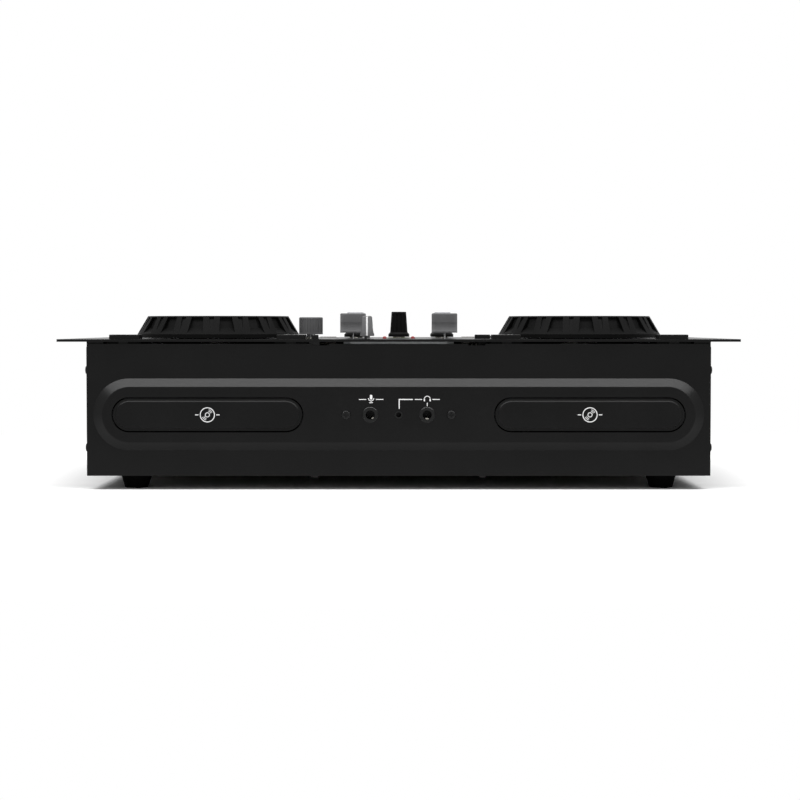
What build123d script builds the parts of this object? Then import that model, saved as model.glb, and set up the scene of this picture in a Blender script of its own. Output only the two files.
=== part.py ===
"""Desk-top twin disc player with a two-channel mixer between its decks.

A folded steel tub stands on four rubber feet and is closed by a rack-width top panel and by a
pressed front panel whose raised oblong band carries two disc trays, a microphone socket and two
headphone sockets. The top panel carries two cogged jog wheels, five faders, ten knobs, six
push buttons, two displays and two silicone key mats.

Units are millimetres. X runs to the right, Y to the back and Z up. The origin is on the surface
that the feet stand on, under the middle of the whole object.
"""

from build123d import *
from math import atan2, cos, degrees, pi, radians, sin, sqrt, tan
import os

# ---- driving sizes: top panel ------------------------------------------------------------------
panel_width = 482.6  # the rack standard's full panel width
panel_depth = 266.0  # six rack units
panel_sheet = 1.8
panel_corner_radius = 1.5
rack_slot_span = 465.1  # between the slot columns of the two ears
rack_slot_pitch = 190.5  # between the two slots of one ear
rack_slot_length = 10.2
rack_slot_width = 6.8

# ---- driving sizes: case -----------------------------------------------------------------------
case_width = 440.6
case_height = 93.2  # of the front panel
case_sheet = 1.2
front_sheet = 1.6
front_setback = 1.0  # of the front panel behind the top panel's edge
rear_setback = 1.0
panel_shadow_gap = 1.5  # between the front panel's top edge and the top panel
front_corner_radius = 3.0
front_notch_width = 12.0  # of the two notches in its top edge
front_notch_depth = 1.1
front_notch_spacing = 110.4
front_return_depth = 18.0
front_return_margin = 6.0
front_tab_width = 12.0
front_tab_depth = 14.0
front_tab_spacing = 119.0
flange_depth = 10.5  # of the tub's inward top flanges
vent_slots = 9
vent_pitch = 9.0
vent_width = 2.6
vent_height = 34.0
vent_rear_inset = 40.0

# ---- driving sizes: raised band of the front panel ---------------------------------------------
band_length = 431.4
band_height = 50.8
band_slope = 5.9  # height of the sloping border
band_end_slope = 7.0  # its width at the round ends
band_raise = 5.0
band_height_above_case = 43.4  # of the band's centre line above the case's bottom
band_round = 0.8

# ---- driving sizes: feet and screws ------------------------------------------------------------
foot_height = 9.5
foot_top_diameter = 22.3
foot_bottom_diameter = 16.6
foot_recess_diameter = 8.4
foot_recess_depth = 5.0
foot_edge_round = 0.3
foot_spacing_x = 376.3
foot_front_inset = 22.5
foot_rear_inset = 27.0
screw_diameter = 3.0
screw_hole_diameter = 3.3
pan_head_diameter = 6.2
pan_head_height = 2.2
pan_screw_length = 7.0
sunk_head_diameter = 6.0
sunk_head_height = 1.5
sunk_screw_length = 7.5
drive_slot_width = 0.9
drive_slot_depth = 1.0
drive_slot_share = 0.6  # of the head's diameter, along the recess
pan_head_round_share = 0.6  # of the head's height
panel_screw_shares = (0.12, 0.5, 0.88)  # of the top panel's depth
side_screw_inset = 10.0  # behind the front panel's face, and ahead of the rear wall
side_screw_low = 19.5  # above the case's bottom
side_screw_high = 74.6
fascia_screw_spacing = 74.0

# ---- driving sizes: disc trays and loaders -----------------------------------------------------
deck_offset = 134.5  # of a deck's centre line from the middle
door_length = 133.0
door_height = 22.8
door_thickness = 5.0
door_gap = 1.0
door_crown = 0.8
door_crown_margin = 1.5
door_lug_length = 30.0
door_lug_reach = 8.0
door_lug_thickness = 1.9
door_lug_inset = 6.0
tray_width = 127.0
tray_length = 166.0
tray_thickness = 6.0
tray_corner_radius = 3.0
tray_drop = 2.0  # of the tray's middle plane below the door's centre line
tray_travel = 134.0
disc_diameter = 120.0
disc_margin = 1.0
small_disc_diameter = 80.0
disc_recess_depth = 1.8
small_recess_depth = 1.2
disc_centre_inset = 67.0  # behind the door's back
hub_slot_width = 36.0
loader_width = 150.0
loader_depth = 196.0
loader_wall = 2.0
loader_headroom = 12.0
loader_footroom = 14.0
loader_gap = 0.6  # behind the front panel
loader_leg_diameter = 10.0
loader_leg_inset = 12.0
runner_width = 4.0
runner_height = 2.4
runner_clearance = 0.3
keeper_width = 2.6  # of the strips above the tray's edges
clamp_diameter = 32.0
clamp_height = 2.6  # above the tray
rack_module = 1.0
rack_root_modules = 1.25  # of a tooth below its pitch line
rack_height = 5.0
rack_back = 3.0  # solid width behind the rack's teeth
rack_side_inset = 5.0
rack_end_teeth = 2  # beyond the pinion at each end of the travel
pinion_teeth = 20
pinion_thickness = 4.4
pinion_headroom = 0.4
pinion_backlash = 0.3
pressure_angle = 20.0
flank_steps = 5  # straight steps along a pinion tooth's flank
pinion_pin_diameter = 3.0
pinion_seat_diameter = 7.0
pinion_inset = 15.0  # behind the loader's front edge
spindle_hub_diameter = 31.0
spindle_hub_height = 2.2
spindle_cone_diameter = 14.6
spindle_cone_height = 2.4
spindle_cone_taper = 1.2
spindle_shaft_diameter = 2.0
motor_diameter = 24.0
motor_height = 7.0
motor_floor = 1.0
sled_width = 28.0
sled_length = 20.0
sled_height = 5.6
sled_footroom = 2.0
sled_first = 25.0  # of the lens from the disc's centre, at the inner end
sled_travel = 33.0
lens_diameter = 10.0
lens_top = 50.5  # of the lens above the surface that the feet stand on
rail_diameter = 3.0
rail_spacing = 22.0
rail_lug_width = 6.0
rail_lug_thickness = 2.0
rail_end_gap = 0.8
running_clearance = 0.05
slip_clearance = 0.1

# ---- driving sizes: jog wheels -----------------------------------------------------------------
jog_depth_position = 81.0  # of the wheel's axis behind the top panel's edge
jog_top_diameter = 104.2
jog_base_diameter = 119.8
jog_base_band = 2.8  # height of the upright band under the cone
jog_height = 16.0
jog_float = 0.6  # air under the wheel
jog_wall = 2.4
jog_skirt_wall = 6.0
jog_rim = 0.9  # height of the plain rim above the scallops
jog_scallops = 16
scallop_top_width = 8.6
scallop_foot_width = 11.8
scallop_floor_top_diameter = 101.0
scallop_floor_foot_diameter = 107.4
scallop_sill_foot = 3.4
scallop_sill_top = 7.3
notch_top_width = 3.6
notch_foot_width = 0.5
notch_depth = 1.5
notch_foot = 5.0
jog_turn_left = 11.25  # puts a notch at the front of the left wheel
jog_turn_right = 0.0  # puts a scallop at the front of the right wheel
jog_plate_diameter = 88.0
jog_plate_thickness = 2.0
jog_plate_sink = 1.0
jog_plate_round = 0.5
jog_dimple_diameter = 19.0
jog_dimple_offset = 28.0
jog_dimple_depth = 0.9
jog_hub_diameter = 18.0
jog_shaft_diameter = 8.0
encoder_disc_diameter = 38.0
encoder_disc_thickness = 1.2
encoder_gap = 1.0  # under the bearing
encoder_shaft_end = 2.0
encoder_slots = 24
encoder_slot_length = 4.0
encoder_slot_width = 1.6
bearing_outer_diameter = 14.0
bearing_flange_diameter = 28.0
bearing_flange_thickness = 2.4
bearing_length = 17.0

# ---- driving sizes: faders ---------------------------------------------------------------------
cap_length = 18.8
cap_top_width = 6.4
cap_waist_width = 7.4
cap_foot_width = 9.8
cap_height = 14.3
cap_foot_band = 0.8
cap_waist_share = 0.45  # of the cap's height, where the foot's flare begins
cap_bow_share = 0.2  # of the flare's width, halfway up it
cap_round = 0.9
lever_thickness = 1.2
lever_width = 4.0
lever_bite = 8.0  # of the lever up into its cap
fader_slot_width = 2.4
fader_slot_margin = 3.0
track_clearance = 0.3
track_width = 12.0
track_height = 9.0
track_margin = 10.0
track_channel_depth = 7.0
channel_fader_offset = 33.7
channel_fader_depth = 72.0  # of the slot's middle
channel_fader_travel = 60.0
channel_fader_rest = -6.0  # of the cap from the slot's middle
channel_cap_lift = 4.4
cross_fader_depth = 18.5
cross_fader_travel = 45.0
cross_cap_lift = 2.2
pitch_fader_offset = 190.0
pitch_fader_depth = 196.0
pitch_fader_travel = 75.0
pitch_cap_lift = 2.0

# ---- driving sizes: knobs ----------------------------------------------------------------------
knob_lift = 0.9
knob_flutes = 12
flute_width = 1.5
flute_depth = 0.45
flute_end = 1.6  # of a flute below the knob's top
knob_edge_round = 0.6
channel_knob_height = 19.0
channel_knob_top_diameter = 12.2
channel_knob_waist_diameter = 13.6
channel_knob_skirt_diameter = 16.8
centre_knob_height = 19.5
centre_knob_top_diameter = 11.4
centre_knob_waist_diameter = 13.6
centre_knob_skirt_diameter = 16.4
skirt_band = 2.0  # height of the skirt's upright rim
skirt_flare = 1.6
knob_row_first = 130.0
knob_row_pitch = 34.0
knob_rows = ("bass", "treble", "gain")
centre_knob_first = 150.0
centre_knob_pitch = 30.0
centre_knobs = ("headphone_level", "headphone_mix", "master_level")
pot_shaft_diameter = 6.0
pot_shaft_bite = 12.0
pot_bush_diameter = 7.8
pot_bush_height = 1.2
pot_nut_diameter = 9.4
pot_nut_height = 0.8
pot_body_width = 14.0
pot_body_height = 8.5
pot_floor = 4.0
knob_cavity_diameter = 10.6
knob_cavity_height = 2.4
browse_knob_diameter = 17.2
browse_knob_height = 12.4
browse_knob_lift = 3.3
browse_knob_offset = -63.8
browse_knob_depth = 44.0
browse_knob_ribs = 28
browse_rib_depth = 0.25
browse_rib_margin = 1.5
browse_knob_round = 0.8

# ---- driving sizes: buttons, keys, displays ----------------------------------------------------
outer_button_width = 21.4
inner_button_width = 20.5
deck_button_length = 20.0
deck_button_rise = 3.2
outer_button_offset = 195.3
inner_button_offset = 76.6
deck_button_inset = 22.0
small_button_rise = 3.1
back_button_width = 5.0
back_button_length = 8.0
back_button_offset = -59.5
back_button_inset = 11.0
link_button_width = 11.0
link_button_length = 9.0
link_button_offset = 60.8
link_button_inset = 44.0
button_gap = 0.3
button_corner_radius = 1.2
button_edge_round = 0.5
button_lip = 1.0
button_lip_height = 1.4
button_stem_diameter = 3.4
button_stem_length = 5.0  # below the top panel
button_travel = 1.2
switch_body_width = 7.0
switch_body_height = 6.0
strap_gap = 0.4
strap_sheet = 1.2
key_columns = 5
key_rows = 2
key_width = 13.0
key_depth = 8.0
key_rise = 1.8
key_pitch_x = 20.0
key_pitch_y = 19.0
key_first_offset = 82.0
key_first_depth = 158.0
mat_thickness = 1.5
mat_margin = 4.0
key_gap = 0.4
key_corner_radius = 1.5
key_edge_round = 0.6
display_width = 78.0
display_depth = 44.0
display_offset = 112.0
display_position = 226.0
display_rise = 1.0
display_edge_round = 0.6
display_body_depth = 9.0
display_lip = 2.0
display_glass_margin = 7.0
display_glass_sink = 0.5
usb_offset = 58.0
usb_position = 226.0
usb_width = 13.2
usb_height = 5.8
usb_length = 14.0
usb_shell = 0.5
usb_tongue = 1.8
usb_tongue_sink = 1.5
usb_floor = 1.5
usb_collar = 1.5
usb_rise = 0.6
led_diameter = 3.0
led_rise = 1.8
led_offset = 10.4
led_position = 62.0
led_collar_diameter = 4.4
led_collar_height = 3.0
led_round_share = 0.45  # of the lamp's diameter
meter_width = 22.0
meter_length = 48.0
meter_position = 100.0
meter_rise = 0.4
meter_edge_round = 0.3
meter_lip = 1.5
meter_body_depth = 5.0

# ---- driving sizes: front sockets --------------------------------------------------------------
big_socket_spacing = 40.0
big_socket_bore = 6.4
big_socket_thread = 9.0
big_socket_nut_diameter = 11.2
big_socket_nut_height = 1.3
big_socket_body_width = 15.0
big_socket_body_height = 13.0
big_socket_length = 30.0
socket_floor = 1.6
socket_edge = 0.4
mini_socket_bore = 3.6
mini_socket_thread = 5.6
mini_socket_stand = 0.5
mini_socket_body = 9.0
mini_socket_length = 16.0
socket_thread_gap = 0.1

# ---- driving sizes: rear connectors ------------------------------------------------------------
rca_columns = 4
rca_pitch_x = 16.0
rca_pitch_z = 16.0
rca_diameter = 8.2
rca_length = 9.5
rca_bore = 3.4
rca_plate_margin = 8.0
rca_plate_thickness = 2.0
rca_body_depth = 12.0
rca_offset = -110.0
inlet_offset = 165.0
inlet_width = 27.0
inlet_height = 20.0
inlet_flange_width = 32.0
inlet_flange_height = 25.0
inlet_flange_thickness = 2.0
inlet_body_depth = 22.0
inlet_cavity_width = 23.0
inlet_cavity_height = 15.5
inlet_cavity_depth = 16.0
inlet_cavity_corner = 4.0
inlet_pin_width = 4.0
inlet_pin_thickness = 2.0
inlet_pin_length = 11.0
inlet_pin_pitch = 7.0
inlet_pin_rise = 2.3
switch_offset = 125.0
switch_width = 19.0
switch_height = 13.0
switch_rim = 2.0
switch_rim_thickness = 1.8
switch_body_depth = 16.0
rocker_gap = 1.0
rocker_swing = 16.0  # degrees from one side to the other
rocker_pin_depth = 6.0
rocker_pin_bite = 0.6
rocker_skin = 1.2
rocker_wing_depth = 2.4
rocker_hollow = 1.2
rocker_pin_diameter = 2.6
rear_connector_height = 50.0

# ---- driving sizes: boards ---------------------------------------------------------------------
board_thickness = 1.6
board_standoff = 6.0
standoff_diameter = 6.0
main_board_width = 96.0
main_board_depth = 190.0
main_board_setback = 24.0
supply_board_width = 130.0
supply_board_depth = 60.0
supply_board_offset = 120.0
supply_board_inset = 34.0
transformer_width = 42.0
transformer_depth = 36.0
transformer_height = 16.0
capacitor_diameter = 16.0
capacitor_height = 15.0
chip_width = 16.0
chip_height = 1.6
header_width = 60.0
header_depth = 6.0
header_height = 9.0
header_inset = 2.0

# ---- places worked out from the sizes ----------------------------------------------------------
front_reach = band_raise - front_setback + pan_head_height
rear_reach = rca_plate_thickness + rca_length - rear_setback
overall_depth = front_reach + panel_depth + rear_reach
y_edge = front_reach - overall_depth / 2  # the top panel's front edge
y_face = y_edge + front_setback  # the front panel's face, outside the band
y_band = y_face - band_raise  # the band's face
y_tub = y_face + front_sheet  # the tub starts behind the front panel
y_front_tab = y_tub + front_tab_depth / 2
y_back = y_edge + panel_depth - rear_setback  # the rear wall's outer face
z_case = foot_height
z_floor = z_case + case_sheet  # the tub's inner bottom
z_front_top = z_case + case_height
z_under = z_front_top + panel_shadow_gap  # the top panel's lower face
z_top = z_under + panel_sheet
z_band = z_case + band_height_above_case
z_rear = z_case + rear_connector_height  # middle of the rear connectors
inner_half_width = case_width / 2 - case_sheet
SIDES = {"left": -1, "right": 1}


def depth(distance):
    """Y of a place that lies this far behind the top panel's front edge."""
    return y_edge + distance


def ring_of(count):
    """Angles of count places spread evenly round a circle."""
    return [360.0 * i / count for i in range(count)]


def cylinder(diameter, low, high, x=0.0, y=0.0):
    """Upright cylinder between two heights."""
    return Pos(x, y, (low + high) / 2) * Cylinder(diameter / 2, high - low)


def block(x_low, x_high, y_low, y_high, z_low, z_high):
    """Box between two corners."""
    middle = ((x_low + x_high) / 2, (y_low + y_high) / 2, (z_low + z_high) / 2)
    return Pos(*middle) * Box(x_high - x_low, y_high - y_low, z_high - z_low)


def rod_y(diameter, y_low, y_high, x, z):
    """Cylinder along Y."""
    return Pos(x, (y_low + y_high) / 2, z) * Rot(90, 0, 0) * Cylinder(diameter / 2, y_high - y_low)


def rod_x(diameter, x_low, x_high, y, z):
    """Cylinder along X."""
    return Pos((x_low + x_high) / 2, y, z) * Rot(0, 90, 0) * Cylinder(diameter / 2, x_high - x_low)


def facing_front(x, y, z):
    """Plane whose normal points to the front, with its own x to the right and its own y up."""
    return Plane(origin=(x, y, z), x_dir=(1, 0, 0), z_dir=(0, -1, 0))


def slot_prism(length, height, x, z, y_front, y_rear):
    """Oblong with round ends, drawn on the front and carried back to y_rear."""
    return extrude(facing_front(x, y_rear, z) * SlotOverall(length, height), amount=y_rear - y_front)


def revolved(points, x=0.0, y=0.0):
    """Solid of revolution about an upright axis, from (radius, height) points."""
    outline = make_face(Polyline([(r, 0, h) for r, h in points], close=True))
    return Pos(x, y, 0) * revolve(outline, Axis.Z)


def joined(solids):
    """One node made of separate solids."""
    return Compound(children=[s for group in solids for s in group.solids()])


def keep(name, shape):
    """Writes one node, and prints what it holds."""
    solids = shape.solids()
    node = Compound(children=list(solids)) if len(solids) > 1 else solids[0]
    node.label = name
    export_step(node, f"parts/{name}.step")
    print(f"{name:26s} {len(solids):3d} solids {sum(s.volume for s in solids) / 1000:9.2f} cm3")


# ---- screws ------------------------------------------------------------------------------------
def cross_slot(head_z):
    """Cross recess, cut down from the top of a head at this height."""
    bar = Pos(0, 0, head_z - drive_slot_depth / 2)
    length = pan_head_diameter * drive_slot_share
    return bar * Box(length, drive_slot_width, drive_slot_depth) + bar * Box(
        drive_slot_width, length, drive_slot_depth
    )


def pan_screw():
    """Pan-head screw along Z: the head's underside at 0, the head above it."""
    head = fillet(
        cylinder(pan_head_diameter, 0, pan_head_height).edges().sort_by(Axis.Z)[-1:],
        pan_head_height * pan_head_round_share,
    )
    return head + cylinder(screw_diameter, -pan_screw_length, 0) - cross_slot(pan_head_height)


def sunk_screw():
    """Countersunk screw along Z, with its head's flat top at 0."""
    outline = [
        (0, 0),
        (sunk_head_diameter / 2, 0),
        (screw_diameter / 2, -sunk_head_height),
        (screw_diameter / 2, -sunk_screw_length),
        (0, -sunk_screw_length),
    ]
    return revolved(outline) - cross_slot(0)


def sunk_hole(x, y, z_face, length, upward=True):
    """Hole for a countersunk screw whose head lies in this face, which looks up or down."""
    outline = [
        (0, 0),
        (sunk_head_diameter / 2 + slip_clearance, 0),
        (screw_hole_diameter / 2, -sunk_head_height),
        (screw_hole_diameter / 2, -length),
        (0, -length),
    ]
    cutter = revolved(outline)
    return Pos(x, y, z_face) * (cutter if upward else Rot(180, 0, 0) * cutter)


foot_places = [
    (sx * foot_spacing_x / 2, y)
    for sx in (-1, 1)
    for y in (depth(foot_front_inset), depth(panel_depth - foot_rear_inset))
]
panel_screw_places = [
    (sx * (inner_half_width - flange_depth / 2), depth(panel_depth * share))
    for sx in (-1, 1)
    for share in panel_screw_shares
]
tab_screw_places = [(sx * front_tab_spacing / 2, y_front_tab) for sx in (-1, 1)]
side_screw_places = [
    (sx, y, z_case + z)
    for sx in (-1, 1)
    for y in (y_face + side_screw_inset, y_back - side_screw_inset)
    for z in (side_screw_low, side_screw_high)
]


def pan_head_screws():
    """Eight screws in the case's sides, two in the band and two under the front edge."""
    screws = [
        Pos(sx * case_width / 2, y, z) * Rot(0, sx * 90, 0) * pan_screw()
        for sx, y, z in side_screw_places
    ]
    screws += [
        Pos(sx * fascia_screw_spacing / 2, y_band, z_band) * Rot(90, 0, 0) * pan_screw()
        for sx in (-1, 1)
    ]
    screws += [Pos(x, y, z_case) * Rot(180, 0, 0) * pan_screw() for x, y in tab_screw_places]
    return joined(screws)


def countersunk_screws():
    """Six screws in the top panel and one in each foot."""
    screws = [Pos(x, y, z_top) * sunk_screw() for x, y in panel_screw_places]
    screws += [
        Pos(x, y, foot_recess_depth) * Rot(180, 0, 0) * sunk_screw() for x, y in foot_places
    ]
    return joined(screws)


# ---- case --------------------------------------------------------------------------------------
def chassis_tub():
    """Folded tub: bottom, two sides and rear wall, with inward flanges under the top panel."""
    half = case_width / 2
    tub = block(-half, half, y_tub, y_back, z_case, z_under)
    inside = inner_half_width
    tub -= block(-inside, inside, y_tub - 1, y_back - case_sheet, z_floor, z_under + 1)
    z_flange = z_under - case_sheet
    for sx in (-1, 1):
        edges = sorted((sx * inside, sx * (inside - flange_depth)))
        tub += block(*edges, y_tub, y_back - case_sheet, z_flange, z_under)
    for x, y in panel_screw_places:
        tub -= cylinder(screw_hole_diameter, z_flange - 1, z_under + 1, x, y)
    for x, y in foot_places + tab_screw_places:
        tub -= cylinder(screw_hole_diameter, z_case - 1, z_floor + 1, x, y)
    for sx, y, z in side_screw_places:
        ends = sorted((sx * (half - 2 * case_sheet), sx * (half + 1)))
        tub -= rod_x(screw_hole_diameter, *ends, y, z)
    return tub - rear_cutouts() - side_vents()


def rear_cutouts():
    """Openings in the rear wall for the phono sockets, the mains inlet and the switch."""
    y_low, y_high = y_back - case_sheet - 1, y_back + 1
    cutters = []
    for x, width, height in (
        (inlet_offset, inlet_width, inlet_height), (switch_offset, switch_width, switch_height),
    ):
        half_w, half_h = width / 2 + slip_clearance, height / 2 + slip_clearance
        cutters.append(block(x - half_w, x + half_w, y_low, y_high, z_rear - half_h, z_rear + half_h))
    for x, z in rca_places():
        cutters.append(rod_y(rca_diameter + 2 * slip_clearance, y_low, y_high, x, z))
    return cutters


def side_vents():
    """Upright cooling slots through both sides, near the rear."""
    first = y_back - vent_rear_inset - vent_pitch * (vent_slots - 1)
    z_mid = z_case + case_height / 2
    cutters = []
    for i in range(vent_slots):
        slot = Plane(origin=(0, first + i * vent_pitch, z_mid), x_dir=(0, 0, 1), z_dir=(1, 0, 0))
        cutters.append(extrude(slot * SlotOverall(vent_height, vent_width), amount=case_width, both=True))
    return cutters


def band_form():
    """The band's raised form, from the front panel's face out to the band's face."""
    base = facing_front(0, y_face, z_band) * SlotOverall(band_length, band_height)
    top = facing_front(0, y_band, z_band) * SlotOverall(
        band_length - 2 * band_end_slope, band_height - 2 * band_slope
    )
    return loft([base, top])


def front_panel():
    """Pressed front panel with its raised band, tray mouths, socket holes and side returns."""
    half = case_width / 2
    plate = extrude(
        facing_front(0, y_tub, z_case + case_height / 2) * Rectangle(case_width, case_height),
        amount=front_sheet,
    )
    top_corners = plate.edges().filter_by(Axis.Y).sort_by(Axis.Z)[-2:]
    plate = fillet(top_corners, front_corner_radius)
    form = band_form()
    panel = plate + form
    crease = [
        e for e in panel.edges()
        if e.geom_type in (GeomType.LINE, GeomType.CIRCLE) and abs(e.center().Y - y_band) < 1e-3
    ]
    panel = fillet(crease, band_round)
    panel -= Pos(0, front_sheet, 0) * form
    for sx in (-1, 1):
        outer = inner_half_width - slip_clearance
        edges = sorted((sx * outer, sx * (outer - front_sheet)))
        panel += block(*edges, y_tub - front_sheet / 2, y_tub + front_return_depth,
                       z_floor + front_return_margin, z_under - case_sheet - front_return_margin)
        x_notch = sx * front_notch_spacing / 2
        panel -= block(x_notch - front_notch_width / 2, x_notch + front_notch_width / 2,
                       y_face - 1, y_tub + 1, z_front_top - front_notch_depth, z_under)
        x_tab = sx * front_tab_spacing / 2
        panel += block(x_tab - front_tab_width / 2, x_tab + front_tab_width / 2,
                       y_tub - front_sheet / 2, y_tub + front_tab_depth, z_floor, z_floor + front_sheet)
        mouth = slot_prism(door_length + 2 * door_gap, door_height + 2 * door_gap,
                           sx * deck_offset, z_band, y_band - 1, y_tub + 1)
        panel -= mouth
    for sx, y, z in side_screw_places:
        if y < 0:
            ends = sorted((sx * (half - 6 * front_sheet), sx * half))
            panel -= rod_x(screw_hole_diameter, *ends, y, z)
    for x, y in tab_screw_places:
        panel -= cylinder(screw_hole_diameter, z_case, z_floor + 2 * front_sheet, x, y)
    for x in (-big_socket_spacing / 2, big_socket_spacing / 2):
        panel -= rod_y(big_socket_thread + 2 * socket_thread_gap, y_band - 1, y_tub, x, z_band)
    panel -= rod_y(mini_socket_thread + 2 * socket_thread_gap, y_band - 1, y_tub, 0, z_band)
    for sx in (-1, 1):
        panel -= rod_y(screw_hole_diameter, y_band - 1, y_tub, sx * fascia_screw_spacing / 2, z_band)
    return panel


def top_panel():
    """Rack-width plate with its ear slots and every opening for what stands on it."""
    plate = block(-panel_width / 2, panel_width / 2, y_edge, y_edge + panel_depth, z_under, z_top)
    plate = fillet(plate.edges().filter_by(Axis.Z), panel_corner_radius)
    y_mid = y_edge + panel_depth / 2
    cutters = []
    for sx in (-1, 1):
        for sy in (-1, 1):
            slot = Pos(sx * rack_slot_span / 2, y_mid + sy * rack_slot_pitch / 2, z_under - 1)
            cutters.append(
                extrude(slot * SlotOverall(rack_slot_length, rack_slot_width), amount=panel_sheet + 2))
        cutters.append(cylinder(bearing_outer_diameter + 2 * slip_clearance, z_under - 1, z_top + 1,
                                sx * deck_offset, depth(jog_depth_position)))
        cutters.append(window(sx * display_offset, depth(display_position), display_width, display_depth))
        cutters.append(window(sx * usb_offset, depth(usb_position), usb_width, usb_height))
        cutters.append(cylinder(led_diameter + 2 * slip_clearance, z_under - 1, z_top + 1,
                                sx * led_offset, depth(led_position)))
    cutters.append(window(0, depth(meter_position), meter_width, meter_length))
    for x, y, width, length, rise in button_places().values():
        cutters.append(window(x, y, width, length, button_gap))
    for x, y in key_places():
        cutters.append(window(x, y, key_width, key_depth, key_gap))
    for x, y, rest, travel, along_x in fader_places().values():
        cutters.append(fader_slot(x, y, travel, along_x))
    for x, y in knob_places().values():
        cutters.append(cylinder(pot_bush_diameter + 2 * slip_clearance, z_under - 1, z_top + 1, x, y))
    for x, y in panel_screw_places:
        cutters.append(sunk_hole(x, y, z_top, panel_sheet + 1))
    return plate - cutters


def window(x, y, width, length, gap=slip_clearance):
    """Square opening through the top panel, larger than its piece by the gap all round."""
    return block(x - width / 2 - gap, x + width / 2 + gap, y - length / 2 - gap, y + length / 2 + gap,
                 z_under - 1, z_top + 1)


def fader_slot(x, y, travel, along_x):
    """Round-ended slot through the top panel for a fader's lever."""
    length = travel + lever_width + 2 * fader_slot_margin
    turn = Rot(0, 0, 0 if along_x else 90)
    outline = Pos(x, y, z_under - 1) * turn * SlotOverall(length, fader_slot_width)
    return extrude(outline, amount=panel_sheet + 2)


def feet():
    """Four tapered rubber feet, each with a recess for its screw."""
    outline = [
        (0, 0), (foot_bottom_diameter / 2, 0), (foot_top_diameter / 2, foot_height), (0, foot_height),
    ]
    foot = revolved(outline)
    foot = fillet(foot.edges().filter_by(GeomType.CIRCLE).sort_by(Axis.Z)[:1], foot_edge_round)
    foot -= cylinder(foot_recess_diameter, -1, foot_recess_depth)
    foot -= sunk_hole(0, 0, foot_recess_depth, foot_height, upward=False)
    return joined([Pos(x, y, 0) * foot for x, y in foot_places])


# ---- places of the controls --------------------------------------------------------------------
def fader_places():
    """Each fader's slot middle, its cap's rest from there, its travel and whether it runs along X."""
    places = {
        f"channel_fader_{side}": (
            sx * channel_fader_offset, depth(channel_fader_depth),
            channel_fader_rest, channel_fader_travel, False,
        )
        for side, sx in SIDES.items()
    }
    places["crossfader"] = (
        0.0, depth(cross_fader_depth), -cross_fader_travel / 2, cross_fader_travel, True,
    )
    for side, sx in SIDES.items():
        places[f"pitch_fader_{side}"] = (
            sx * pitch_fader_offset, depth(pitch_fader_depth), 0.0, pitch_fader_travel, False,
        )
    return places


cap_lifts = {
    "channel_fader_left": channel_cap_lift, "channel_fader_right": channel_cap_lift,
    "crossfader": cross_cap_lift,
    "pitch_fader_left": pitch_cap_lift, "pitch_fader_right": pitch_cap_lift,
}


def knob_places():
    """Axis of every knob."""
    places = {}
    for row, word in enumerate(knob_rows):
        for side, sx in SIDES.items():
            y = depth(knob_row_first + row * knob_row_pitch)
            places[f"{word}_knob_{side}"] = (sx * channel_fader_offset, y)
    for row, word in enumerate(centre_knobs):
        places[f"{word}_knob"] = (0.0, depth(centre_knob_first + row * centre_knob_pitch))
    places["browse_knob"] = (browse_knob_offset, depth(browse_knob_depth))
    return places


def button_places():
    """Centre, width, length and rise of every push button."""
    places = {}
    y = depth(deck_button_inset)
    for side, sx in SIDES.items():
        places[f"cue_button_{side}"] = (
            sx * outer_button_offset, y, outer_button_width, deck_button_length, deck_button_rise,
        )
        places[f"play_button_{side}"] = (
            sx * inner_button_offset, y, inner_button_width, deck_button_length, deck_button_rise,
        )
    places["back_button"] = (
        back_button_offset, depth(back_button_inset),
        back_button_width, back_button_length, small_button_rise,
    )
    places["link_button"] = (
        link_button_offset, depth(link_button_inset),
        link_button_width, link_button_length, small_button_rise,
    )
    return places


def key_places(only=None):
    """Centres of the silicone keys, of both decks or of one side."""
    return [
        (sx * (key_first_offset + column * key_pitch_x), depth(key_first_depth + row * key_pitch_y))
        for side, sx in SIDES.items() if only in (None, side)
        for column in range(key_columns)
        for row in range(key_rows)
    ]


def rca_places():
    """Axes of the phono sockets on the rear wall, as (x, z)."""
    return [
        (rca_offset + (column - (rca_columns - 1) / 2) * rca_pitch_x,
         z_rear + (row - 0.5) * rca_pitch_z)
        for column in range(rca_columns)
        for row in range(2)
    ]


# ---- jog wheels --------------------------------------------------------------------------------
jog_base_z = z_top + jog_float
jog_crown_z = jog_base_z + jog_height
z_rim = jog_crown_z - jog_rim
z_jog_seat = jog_crown_z - jog_plate_sink - jog_plate_thickness


def cone_radius(height):
    """Radius of the wheel's cone at a height above the wheel's base."""
    share = (height - jog_base_band) / (jog_height - jog_base_band)
    return jog_base_diameter / 2 + share * (jog_top_diameter - jog_base_diameter) / 2


def tapered_cutter(side, foot_z, top_width, foot_width):
    """Cutter at the angle 0 from its side outline, as wide as stated at the rim and at the foot."""
    widest = max(top_width, foot_width)
    outline = make_face(Polyline([(r, 0, h) for r, h in side], close=True))
    front = [
        (-top_width / 2, z_rim), (top_width / 2, z_rim),
        (foot_width / 2, foot_z), (-foot_width / 2, foot_z),
    ]
    across = make_face(Polyline([(0, t, h) for t, h in front], close=True))
    radial = extrude(outline, amount=widest, both=True)
    return radial & extrude(across, amount=jog_base_diameter, dir=(1, 0, 0))


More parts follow.
